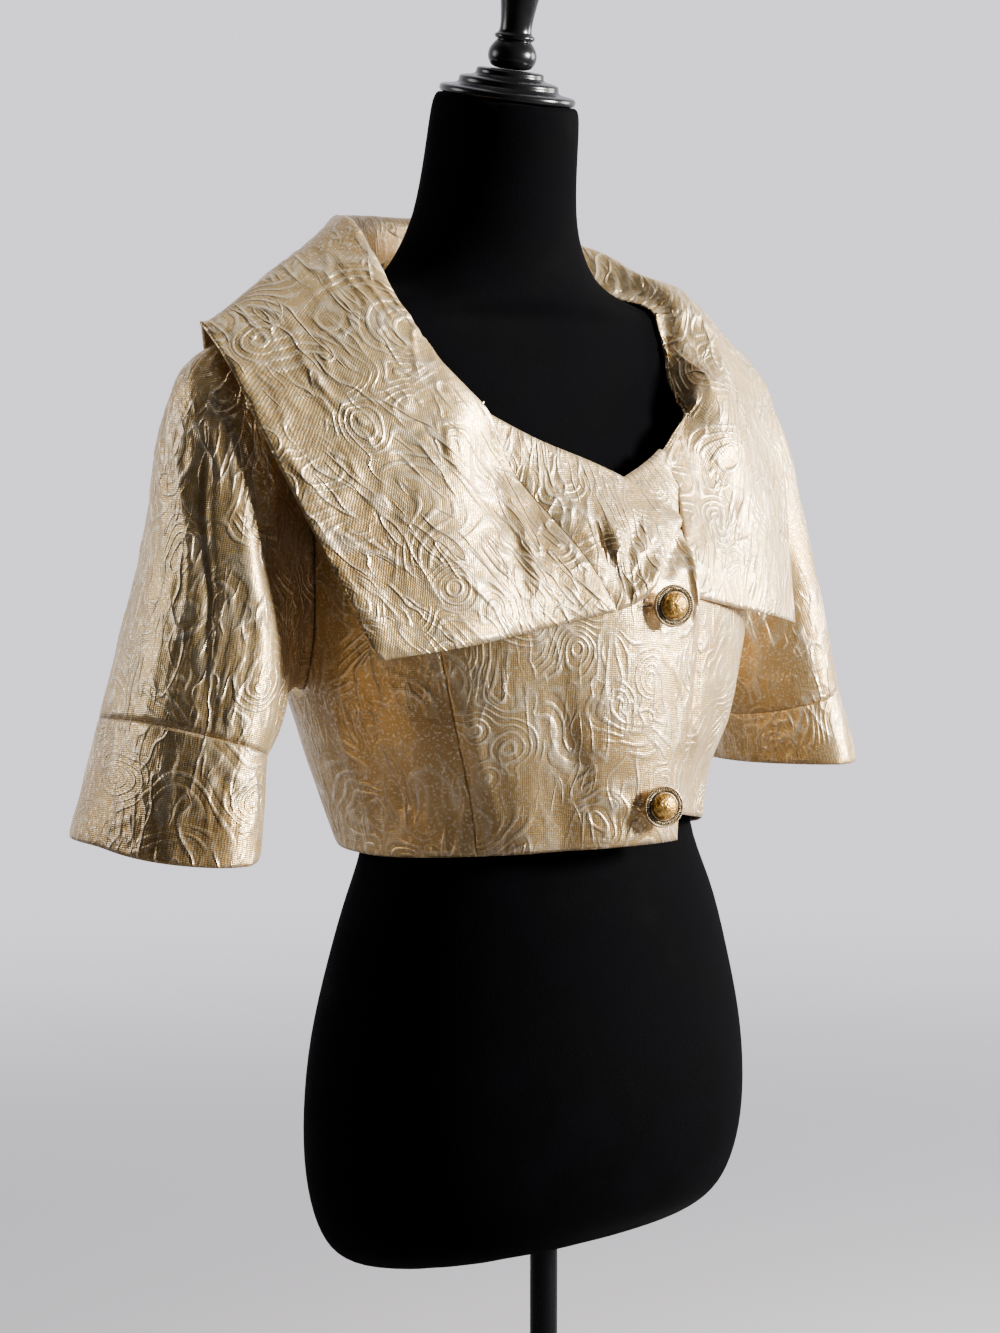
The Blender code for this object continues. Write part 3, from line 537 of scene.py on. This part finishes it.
def clothPiece(node, s):
    # Thin shell on the CAD node's outer face, rounded, creased and given back its thickness.
    c = clothSettings
    name = s["name"]
    shape = outerSkin(node, Vector(s["anchor"]), math.radians(s.get("foldLimit", c["foldLimit"])))
    mesh = bpy.data.meshes.new(name)
    shape.to_mesh(mesh)
    shape.free()
    mesh = smoother(mesh, c["levels"])
    p = np.empty(len(mesh.vertices) * 3)
    mesh.vertices.foreach_get("co", p)
    p = p.reshape(-1, 3)
    n = np.array([v.normal for v in mesh.vertices])
    rim = rimTree(mesh)
    gap = np.array([rim.find(point)[2] for point in p.tolist()])
    grain = s["grain"](p)
    moved = p + n * clothLift(s, p, grain, gap, surfaceTree(mesh))[:, None]
    if "shape" in s:
        moved = s["shape"](moved, gap)
    mesh.vertices.foreach_set("co", moved.ravel())
    layer = mesh.uv_layers.new(name="grain")
    corner = np.empty(len(mesh.loops), int)
    mesh.loops.foreach_get("vertex_index", corner)
    layer.data.foreach_set("uv", grain[corner].ravel())
    mesh.update()
    area = sum(f.area for f in mesh.polygons)
    piece = objectFrom(name, mesh, s["finish"])
    wall = piece.modifiers.new("thickness", "SOLIDIFY")
    wall.thickness = c["thickness"]
    wall.offset = -1.0
    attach(piece, "root")
    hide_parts(node)
    print("cloth", name, "area", round(area, 4), "flat area", s["area"], "quads", len(mesh.polygons))
    return piece


def meetCollar(p, gap, reach=0.009, seam=0.0004, depth=0.007):
    # The gorge: the piece's edge is eased up to the collar's edge.
    tree = rimTree(jacket["collar"].data)
    result = p.copy()
    for i, point in enumerate(p.tolist()):
        if gap[i] < depth * 2:
            near, _, away = tree.find(point)
            if seam < away < reach:
                share = math.exp(-(gap[i] / depth) ** 2) * (1 - (away / reach) ** 4)
                result[i] += (np.array(near) - p[i]) * (1 - seam / away) * share
    return result


clothPieces = {
    "front_right": {
        "name": "frontRight", "anchor": (0, 0.05, 0.93), "grain": bodyGrain,
        "wrinkle": 0.00042, "flat": (0.28, 0.40), "area": 0.064,
        "crinkles": [(0.013, 2.6, 3.0, 0.0006, 1.3)],
        "creases": [
            ([(662, 655), (676, 672), (684, 700), (686, 735)], 0.0016, 0.0010),
            ([(664, 580), (670, 562), (677, 546), (684, 536)], 0.0065, -0.0048),
            ([(680, 534), (687, 549), (692, 575), (694, 597), (694, 625)], 0.0030, 0.0055),
            ([(468, 700), (480, 760), (500, 835)], 0.0060, 0.0022),
            ([(560, 690), (566, 740), (590, 800)], 0.0080, -0.0022),
            ([(600, 790), (640, 815), (670, 835)], 0.0060, 0.0016),
        ],
    },
    "front_left": {
        "name": "frontLeft", "anchor": (0, 0.05, 0.93), "grain": bodyGrain,
        "wrinkle": 0.00042, "flat": (0.28, 0.40), "area": 0.064,
        "crinkles": [(0.013, 2.6, 3.0, 0.0006, 4.3)],
        "creases": [
            ([(735, 630), (722, 700), (706, 770)], 0.0060, 0.0016),
            ([(700, 618), (699, 660), (696, 705), (690, 760), (684, 800)], 0.0040, -0.0030),
        ],
    },
    "side_right": {
        "name": "sideRight", "anchor": (0, 0.02, 0.93), "grain": bodyGrain,
        "wrinkle": 0.0006, "flat": (0.20, 0.23), "area": 0.030,
        "crinkles": [(0.011, 3.4, 3.0, 0.0008, 2.2)],
        "creases": [
            ([(372, 690), (380, 740), (404, 800), (430, 840)], 0.0060, -0.0022),
            ([(330, 700), (352, 760), (372, 820)], 0.0060, 0.0020),
        ],
    },
    "side_left": {
        "name": "sideLeft", "anchor": (0, 0.02, 0.93), "grain": bodyGrain,
        "wrinkle": 0.0006, "flat": (0.20, 0.23), "area": 0.030,
        "crinkles": [(0.011, 3.4, 3.0, 0.0008, 5.2)],
    },
    "back": {
        "name": "backPanel", "anchor": (0, 0.02, 0.93), "grain": bodyGrain,
        "wrinkle": 0.0006, "flat": (0.44, 0.40), "area": 0.130,
        "crinkles": [(0.013, 3.0, 3.0, 0.0007, 6.1)],
    },
    "sleeve_right": {
        "name": "sleeveRight", "anchor": (-0.245, 0.04, 0.95), "grain": sleeveGrain,
        "wrinkle": 0.00062, "flat": (0.42, 0.25), "area": 0.074,
        "crinkles": [(0.0085, 6.0, 2.6, 0.0008, 1.1), (0.017, 4.0, 2.4, 0.0009, 4.9)],
        "creases": [
            ([(176, 450), (184, 510), (190, 570), (186, 640)], 0.0028, 0.0016),
            ([(160, 470), (164, 540), (172, 600)], 0.0026, 0.0012),
            ([(205, 440), (203, 520), (210, 600), (205, 700)], 0.0040, -0.0024),
            ([(240, 500), (250, 560), (262, 640), (258, 720)], 0.0070, 0.0030),
        ],
    },
    "sleeve_left": {
        "name": "sleeveLeft", "anchor": (0.245, 0.04, 0.95), "grain": sleeveGrain,
        "wrinkle": 0.00062, "flat": (0.42, 0.25), "area": 0.074,
        "crinkles": [(0.0085, 6.0, 2.6, 0.0008, 2.1), (0.017, 4.0, 2.4, 0.0009, 5.9)],
    },
    "cuff_right": {
        "name": "cuffRight", "anchor": (-0.275, 0.037, 0.83), "grain": sleeveGrain,
        "wrinkle": 0.00066, "flat": (0.42, 0.075), "area": 0.024,
        "crinkles": [(0.0085, 5.0, 2.6, 0.0008, 7.1)],
    },
    "cuff_left": {
        "name": "cuffLeft", "anchor": (0.275, 0.037, 0.83), "grain": sleeveGrain,
        "wrinkle": 0.00066, "flat": (0.42, 0.075), "area": 0.024,
        "crinkles": [(0.0085, 5.0, 2.6, 0.0009, 8.1)],
    },
    "collar": {
        "name": "wideCollar", "anchor": (0, 0.03, 1.05), "grain": collarGrain,
        "wrinkle": 0.00072, "flat": (0.80, 0.50), "area": 0.178,
        "shape": settled, "crinkles": [(0.011, 2.4, 2.4, 0.0011, 3.1), (0.020, 2.0, 2.5, 0.0010, 8.7)],
        "creases": [
            ([(287, 312), (305, 365), (330, 398), (375, 430), (400, 470)], 0.0030, 0.0013),
            ([(323, 343), (326, 360), (330, 378)], 0.0026, 0.0012),
            ([(480, 460), (505, 495), (524, 530), (532, 570), (537, 608)], 0.0036, 0.0022),
            ([(468, 470), (494, 505), (514, 540), (522, 590)], 0.0060, -0.0018),
            ([(446, 425), (450, 455), (466, 480)], 0.0026, 0.0020),
            ([(270, 430), (290, 460), (320, 500)], 0.0040, 0.0020),
        ],
    },
    "lapel_right": {
        "name": "lapelRight", "anchor": (0, 0.05, 1.0), "grain": bodyGrain, "foldLimit": 50,
        "wrinkle": 0.0009, "flat": (0.16, 0.08), "area": 0.0095,
        "shape": meetCollar, "crinkles": [(0.012, 2.0, 2.6, 0.0009, 9.3)],
        "creases": [
            ([(594, 515), (604, 545), (616, 570), (624, 585)], 0.0046, -0.0034),
            ([(640, 520), (632, 545), (626, 570)], 0.0046, -0.0034),
            ([(612, 520), (618, 545), (624, 560)], 0.0056, 0.0030),
            ([(628, 600), (650, 585), (660, 560), (676, 536), (690, 522)], 0.0060, 0.0060),
        ],
    },
    "lapel_left": {
        "name": "lapelLeft", "anchor": (0, 0.05, 1.0), "grain": bodyGrain, "foldLimit": 50,
        "wrinkle": 0.0007, "flat": (0.12, 0.05), "area": 0.0033,
        "shape": meetCollar, "crinkles": [(0.012, 2.0, 2.6, 0.0006, 3.3)],
    },
}

for order, (node, settings) in enumerate(clothPieces.items()):
    shift = (0.37 * order, 0.21 * order, 0.13 * order)
    settings["finish"] = brocade("brocade" + node.title().replace("_", ""), shift, settings["wrinkle"])
    jacket[node] = clothPiece(node, settings)


# Sewn edges are drawn together, so that a seam is a fine line; the back has no right or left
seams = [
    ("front", "side"), ("side", "back"), ("front", "back"),
    ("sleeve", "front"), ("sleeve", "side"), ("sleeve", "back"), ("sleeve", "cuff"),
]


def sew(first, second, reach=0.0045, seam=0.0002, most=0.5):
    # Each rim point near the other piece's rim goes half the way to it.
    trees = [rimTree(jacket[node].data) for node in (first, second)]
    moves = []
    for node, tree, other in ((first, trees[0], trees[1]), (second, trees[1], trees[0])):
        mesh = jacket[node].data
        for _, i, _ in tree.find_range((0, 0, 1), 10.0):
            near, _, away = other.find(mesh.vertices[i].co)
            if seam < away < reach:
                moves.append((mesh.vertices[i], (near - mesh.vertices[i].co) * most * (1 - seam / away)))
    for vert, move in moves:
        vert.co += move
    for node in (first, second):
        jacket[node].data.update()


for first, second in seams:
    for side in ("_right", "_left"):
        sew(first + side, second if second == "back" else second + side)


# Where the neckline of the left front and of the back is kept under the collar
tuckSettings = {"side": 0.06, "from": 1.05, "within": 0.024, "reach": 0.012, "clear": 0.0030}


def tuck(node, s):
    # The neckline of a body piece stays under the settled collar on the wearer's left.
    collar = surfaceTree(jacket["collar"].data)
    mesh = jacket[node].data
    rim = rimTree(mesh)
    for vert in mesh.vertices:
        if vert.co.x > s["side"] and vert.co.z > s["from"] and rim.find(vert.co)[2] < s["within"]:
            near, normal, _, away = collar.find_nearest(vert.co)
            above = (vert.co - near).dot(normal) + s["clear"]
            if away < s["reach"] and above > 0.0:
                vert.co -= normal * above
    mesh.update()


tuck("front_left", tuckSettings)
tuck("back", tuckSettings)
print("jacket made")


# Velvet cover of the dress form, smooth and whole
formSettings = {
    "levels": 2,
    "colour": (0.0005, 0.0005, 0.0007),
    "crushed": (0.0012, 0.0012, 0.0018),
    "pile": 0.0006,
    "pileScale": 900.0,
    "crushScale": 22.0,
    "roughness": (0.75, 0.95),
    "sheen": 0.005,
    "sheenRoughness": 0.35,
    "specular": 0.015,
}


def velvet(s):
    finish = bpy.data.materials.new("velvet")
    board = NodeBoard(finish)
    place = board.add("ShaderNodeTexCoord").outputs["Object"]
    pile = board.cloud(place, s["pileScale"], 3.0)
    crush = board.cloud(place, s["crushScale"], 4.0)
    board.drive("Base Color", board.blend(board.spread(crush, 0.4, 0.7), s["colour"], s["crushed"]))
    board.emboss(board.calc("ADD", board.calc("MULTIPLY", pile, 0.6), crush), s["pile"])
    board.drive("Roughness", board.spread(crush, 0.3, 0.7, *s["roughness"]))
    board.shader.inputs["Sheen Weight"].default_value = s["sheen"]
    board.shader.inputs["Sheen Roughness"].default_value = s["sheenRoughness"]
    board.shader.inputs["Specular IOR Level"].default_value = s["specular"]
    return finish


def dressForm(s):
    shape = nodeCopy("dress_form")
    toQuads(shape)
    mesh = bpy.data.meshes.new("dressForm")
    shape.to_mesh(mesh)
    shape.free()
    form = objectFrom("dressForm", smoother(mesh, s["levels"]), velvet(s))
    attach(form, "root")
    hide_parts("dress_form")
    return form


dressForm(formSettings)
print("dress form made")


lacquerSettings = {"smearScale": 60.0, "dustScale": 1400.0, "relief": 0.00005, "specular": 0.3}


def lacquer(name, colour, roughness, metallic=0.0):
    s = lacquerSettings
    finish = bpy.data.materials.new(name)
    board = NodeBoard(finish)
    place = board.add("ShaderNodeTexCoord").outputs["Object"]
    smear = board.cloud(place, s["smearScale"], 4.0)
    dust = board.cloud(place, s["dustScale"], 2.0)
    lighter = tuple(c * 1.8 + 0.004 for c in colour)
    board.drive("Base Color", board.blend(board.spread(dust, 0.60, 0.75), colour, lighter))
    board.drive("Roughness", board.spread(smear, 0.3, 0.7, roughness * 0.8, roughness * 1.5))
    board.emboss(smear, s["relief"])
    board.shader.inputs["Metallic"].default_value = metallic
    board.shader.inputs["Specular IOR Level"].default_value = s["specular"]
    return finish


def spun(name, profile, finish, steps=96, rounds=0):
    # Body of revolution about its own Z; each round takes the corners of the profile off once.
    for _ in range(rounds):
        cut = [profile[0]]
        for a, b in zip(profile, profile[1:]):
            for share in (0.25, 0.75):
                cut.append(tuple(u * (1 - share) + v * share for u, v in zip(a, b)))
        profile = cut + [profile[-1]]
    shape = bmesh.new()
    verts = [shape.verts.new((radius, 0.0, height)) for radius, height in profile]
    edges = [shape.edges.new(pair) for pair in zip(verts, verts[1:])]
    bmesh.ops.spin(shape, geom=verts + edges, cent=(0, 0, 0), axis=(0, 0, 1), dvec=(0, 0, 0),
                   angle=2 * math.pi, steps=steps, use_merge=True)
    bmesh.ops.remove_doubles(shape, verts=shape.verts, dist=1e-6)
    bmesh.ops.recalc_face_normals(shape, faces=shape.faces)
    piece = pieceFrom(name, shape, finish)
    piece.data.set_sharp_from_angle(angle=math.radians(50))
    return piece


def placed(piece, where):
    # The mesh itself is moved, so the object stays at the origin.
    piece.data.transform(where)
    return piece


# Stand: heavy round base, steel pole, turned cap and finial
standSettings = {
    "base": ((0.0, 0.0), (0.146, 0.0), (0.150, 0.0035), (0.150, 0.0085), (0.146, 0.0120), (0.0, 0.0120)),
    "cap": (
        (0.0, 0.0), (0.0440, 0.0), (0.0467, 0.0012), (0.0467, 0.0046), (0.0450, 0.0060), (0.0360, 0.0072),
        (0.0342, 0.0088), (0.0342, 0.0118), (0.0326, 0.0132), (0.0245, 0.0146), (0.0232, 0.0160),
        (0.0232, 0.0186), (0.0215, 0.0200), (0.0, 0.0200),
    ),
    "finial": (
        (0.0, 0.0203), (0.0125, 0.0203), (0.0160, 0.0250), (0.0168, 0.0290), (0.0160, 0.0335),
        (0.0125, 0.0385), (0.0112, 0.0395), (0.0136, 0.0405), (0.0138, 0.0430), (0.0112, 0.0442),
        (0.0107, 0.0490), (0.0116, 0.0580), (0.0132, 0.0680), (0.0145, 0.0780), (0.0150, 0.0880),
        (0.0140, 0.0980), (0.0118, 0.1070), (0.0090, 0.1130), (0.0050, 0.1170), (0.0, 0.1170),
    ),
    "capPlace": (0.0, 0.034, 1.2813),
    "capLean": 0.200,
    "lacquer": ((0.004, 0.004, 0.0045), 0.20),
    "steel": ((0.02, 0.02, 0.022), 0.25, 1.0),
}


def standPieces(s):
    blackLacquer = lacquer("blackLacquer", *s["lacquer"])
    poleSteel = lacquer("poleSteel", *s["steel"])
    lean = Matrix.Translation(s["capPlace"]) @ Matrix.Rotation(math.atan(s["capLean"]), 4, "X")
    for node, name, profile, where in (
        ("stand_base", "standBase", s["base"], Matrix()),
        ("neck_cap", "neckCap", s["cap"], lean),
        ("finial", "capFinial", s["finial"], lean),
    ):
        piece = placed(spun(name, profile, blackLacquer, rounds=2), where)
        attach(piece, "root")
        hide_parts(node)
    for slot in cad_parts["stand_pole"].material_slots:
        slot.material = poleSteel


standPieces(standSettings)
print("stand made")


# Buttons: antique gilt dome with a centre dot in a milled rim
buttonSettings = {
    "turn": -20.0,
    "profile": (
        (0.0, 0.0), (0.0022, 0.0), (0.0022, 0.0052), (0.0116, 0.0058), (0.0134, 0.0066), (0.0140, 0.0080),
        (0.0137, 0.0090), (0.0130, 0.0093), (0.0124, 0.0086), (0.0100, 0.0084), (0.0096, 0.0094),
        (0.0090, 0.0098), (0.0085, 0.0093), (0.0082, 0.0103), (0.0074, 0.0120), (0.0060, 0.0133),
        (0.0040, 0.0141), (0.0018, 0.0144), (0.0013, 0.0147), (0.0, 0.0149),
    ),
    "domeRadius": 0.0087,
    "recess": (0.0097, 0.0126),
    "frontHeight": 0.0082,
    "dentScale": 620.0,
    "grimeScale": 420.0,
    "dome": ((0.74, 0.47, 0.13), (0.34, 0.18, 0.04), 0.36, 0.0005),
    "rim": ((0.62, 0.52, 0.36), (0.34, 0.26, 0.15), 0.40, 0.00008),
    "dark": ((0.24, 0.17, 0.09), (0.08, 0.05, 0.025), 0.5, 0.00005),
    "bars": {
        "count": 60, "radius": 0.0112, "height": 0.0087, "size": (0.0013, 0.00034, 0.0007), "sides": (10, 6),
    },
    "beads": {
        "count": 60, "radius": 0.0132, "height": 0.0092, "size": (0.00052, 0.00052, 0.00052), "sides": (8, 5),
    },
}


def gilt(name, colour, dark, roughness, hammer):
    finish = bpy.data.materials.new(name)
    board = NodeBoard(finish)
    s = buttonSettings
    place = board.add("ShaderNodeTexCoord").outputs["Object"]
    dents = board.add("ShaderNodeTexVoronoi", {"Vector": place, "Scale": s["dentScale"]}).outputs["Distance"]
    grime = board.cloud(place, s["grimeScale"], 4.0)
    board.emboss(board.calc("MULTIPLY", board.calc("ADD", dents, grime), hammer))
    board.drive("Base Color", board.blend(board.spread(grime, 0.42, 0.62), dark, colour))
    board.drive("Roughness", board.spread(grime, 0.3, 0.7, roughness * 1.5, roughness))
    board.shader.inputs["Metallic"].default_value = 1.0
    return finish


def stud(shape, where, size, sides):
    # One small rounded stud, added to a mesh of many.
    bmesh.ops.create_uvsphere(shape, u_segments=sides[0], v_segments=sides[1], radius=1.0,
                              matrix=where @ Matrix.Diagonal((*size, 1.0)))


def buttons(s):
    dome = gilt("giltDome", *s["dome"])
    rim = gilt("bronzeRim", *s["rim"])
    dark = gilt("darkRecess", *s["dark"])
    turn = math.radians(s["turn"])
    axis = Vector((math.sin(turn), -math.cos(turn), 0.0))
    upright = Matrix.Rotation(turn, 4, "Z") @ Matrix.Rotation(math.radians(90), 4, "X")
    low, high = s["recess"]
    for node, name in (("button_upper", "upperButton"), ("button_lower", "lowerButton")):
        shape = nodeCopy(node)
        middle = sum((v.co for v in shape.verts), Vector()) / len(shape.verts)
        foot = middle + axis * min((v.co - middle).dot(axis) for v in shape.verts)
        shape.free()
        where = Matrix.Translation(foot) @ upright
        piece = placed(spun(name, s["profile"], rim, steps=80), where)
        piece.data.materials.append(dome)
        piece.data.materials.append(dark)
        for face in piece.data.polygons:
            off = face.center - foot
            rise = off.dot(axis)
            flat = (off - axis * rise).length
            if rise > s["frontHeight"] and flat < s["domeRadius"]:
                face.material_index = 1
            elif rise > s["frontHeight"] and low < flat < high:
                face.material_index = 2
        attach(piece, "root")
        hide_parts(node)
        milling = bmesh.new()
        for ring in (s["bars"], s["beads"]):
            out = Matrix.Translation((ring["radius"], 0, ring["height"]))
            for i in range(ring["count"]):
                spot = Matrix.Rotation(2 * math.pi * i / ring["count"], 4, "Z") @ out
                stud(milling, where @ spot, ring["size"], ring["sides"])
        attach(pieceFrom(name + "Milling", milling, rim), "root")


buttons(buttonSettings)
print("buttons made")


# Buttonholes: a short slit painted dark as its shadow, between two rows of close stitches, its end seen
# beside each button
buttonholeSettings = {
    "ends": (((637, 607.6), (654, 605.2)), ((633, 804.2), (646, 803.4))),
    "slitHalfWidth": 0.0006,
    "slitDepth": 0.0003,
    "slitShadowColour": (0.03, 0.02, 0.01, 1.0),
    "stitches": 13,
    "stitchSize": (0.0011, 0.00030, 0.00034),
    "stitchAway": 0.0014,
    "stitchRise": 0.0001,
    "thread": ((0.80, 0.66, 0.42), (0.50, 0.36, 0.18), 0.5, 0.0002),
}


def frameAt(middle, along, normal):
    # Axes at a point: x across the slit, y along it, z out of the cloth.
    across = along.cross(normal).normalized()
    out = across.cross(along).normalized()
    turn = Matrix((across, along, out)).transposed().to_4x4()
    return Matrix.Translation(middle) @ turn


def buttonholes(s):
    # Painted shadow: the slit is a flat stud of near-black colour.
    dark = bpy.data.materials.new("slitShadow")
    dark.use_nodes = True
    dark.node_tree.nodes["Principled BSDF"].inputs["Base Color"].default_value = s["slitShadowColour"]
    thread = gilt("stitchThread", *s["thread"])
    cloth = surfaceTree(jacket["front_right"].data)
    slits, stitches = bmesh.new(), bmesh.new()
    for first, last in s["ends"]:
        a, normal = cloth.ray_cast(*lineOfSight(*first))[:2]
        b = cloth.ray_cast(*lineOfSight(*last))[0]
        if normal.dot(camera.location - a) < 0:
            normal = -normal
        along, length = (b - a).normalized(), (b - a).length
        spot = frameAt((a + b) / 2, along, normal)
        stud(slits, spot, (s["slitHalfWidth"], length / 2, s["slitDepth"]), (16, 8))
        for side in (-1, 1):
            for i in range(s["stitches"]):
                place = ((i + 0.5) / s["stitches"] - 0.5) * length
                move = Matrix.Translation((side * s["stitchAway"], place, s["stitchRise"]))
                stud(stitches, spot @ move, s["stitchSize"], (8, 5))
    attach(pieceFrom("buttonholeSlits", slits, dark), "root")
    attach(pieceFrom("buttonholeStitches", stitches, thread), "root")


buttonholes(buttonholeSettings)
print("buttonholes made")


# Floor, backdrop and studio light: a bright backdrop behind the jacket, dimmer air behind the camera
studioSettings = {
    "floorColour": (0.47, 0.46, 0.49),
    "floorBounce": (0.15, 0.145, 0.155),
    "floorRoughness": 0.9,
    "floorSpecular": 0.1,
    "reach": 12.0,
    "fadeFrom": 1.2,
    "fadeTo": 4.6,
    "airColour": (0.94, 0.915, 1.0),
    "backdropWay": (0.656, 0.755, 0.0),
    "backdropFrom": (-0.15, 0.8),
    "behind": 1.25,
    "before": 0.03,
    "shown": 1.42,
}


def airStrength(board, way, s):
    # The air lights the jacket mostly from behind, and is seen as an even pale backdrop.
    facing = board.vector("DOT_PRODUCT", way, {1: s["backdropWay"]}, "Value")
    light = board.spread(facing, *s["backdropFrom"], s["before"], s["behind"])
    seen = board.add("ShaderNodeLightPath").outputs["Is Camera Ray"]
    return board.mix(seen, light, s["shown"])


def studio(s):
    finish = bpy.data.materials.new("paleFloor")
    board = NodeBoard(finish)
    seen = board.add("ShaderNodeLightPath").outputs["Is Camera Ray"]
    board.drive("Base Color", board.blend(seen, s["floorBounce"], s["floorColour"]))
    board.shader.inputs["Roughness"].default_value = s["floorRoughness"]
    board.shader.inputs["Specular IOR Level"].default_value = s["floorSpecular"]
    place = board.add("ShaderNodeTexCoord").outputs["Object"]
    away = board.vector("LENGTH", place, {}, "Value")
    way = board.vector("NORMALIZE", place, {})
    strength = airStrength(board, way, s)
    glow = board.add("ShaderNodeEmission", {"Color": (*s["airColour"], 1.0), "Strength": strength})
    share = board.add("ShaderNodeMapRange", {0: away, 1: s["fadeFrom"], 2: s["fadeTo"]},
                      interpolation_type="SMOOTHSTEP").outputs[0]
    both = board.add("ShaderNodeMixShader", {0: share, 1: board.shader.outputs[0], 2: glow.outputs[0]})
    board.tree.links.new(both.outputs[0], board.tree.nodes["Material Output"].inputs["Surface"])
    shape = bmesh.new()
    bmesh.ops.create_grid(shape, x_segments=1, y_segments=1, size=s["reach"])
    pieceFrom("floor", shape, finish)
    world = bpy.context.scene.world or bpy.data.worlds.new("studio")
    bpy.context.scene.world = world
    air = NodeBoard(world)
    way = air.add("ShaderNodeTexCoord").outputs["Generated"]
    sky = air.tree.nodes["Background"]
    sky.inputs["Color"].default_value = (*s["airColour"], 1.0)
    air.tree.links.new(airStrength(air, way, s), sky.inputs["Strength"])


studio(studioSettings)

lightSettings = {
    "keyFront": {"place": (1.52, -1.86, 1.62), "size": 0.7, "power": 358, "colour": (1.0, 0.97, 0.92)},
    "keyRight": {"place": (2.1, -0.55, 1.55), "size": 0.9, "power": 45, "colour": (1.0, 0.97, 0.93)},
    "edgeLeft": {"place": (-1.6, 1.5, 1.7), "size": 1.0, "power": 20, "colour": (1.0, 0.99, 0.97)},
    "top": {"place": (-0.2, 0.1, 3.0), "size": 1.2, "power": 4, "colour": (1.0, 1.0, 1.0)},
}


def studioLight(name, s, aim=(0.0, 0.0, 0.98)):
    data = bpy.data.lights.new(name, "AREA")
    data.shape = "DISK"
    data.size = s["size"]
    data.energy = s["power"]
    data.color = s["colour"]
    lamp = bpy.data.objects.new(name, data)
    lamp.location = s["place"]
    lamp.rotation_euler = (Vector(aim) - Vector(s["place"])).to_track_quat("-Z", "Y").to_euler()
    bpy.context.scene.collection.objects.link(lamp)


for name, settings in lightSettings.items():
    studioLight(name, settings)
print("light made")
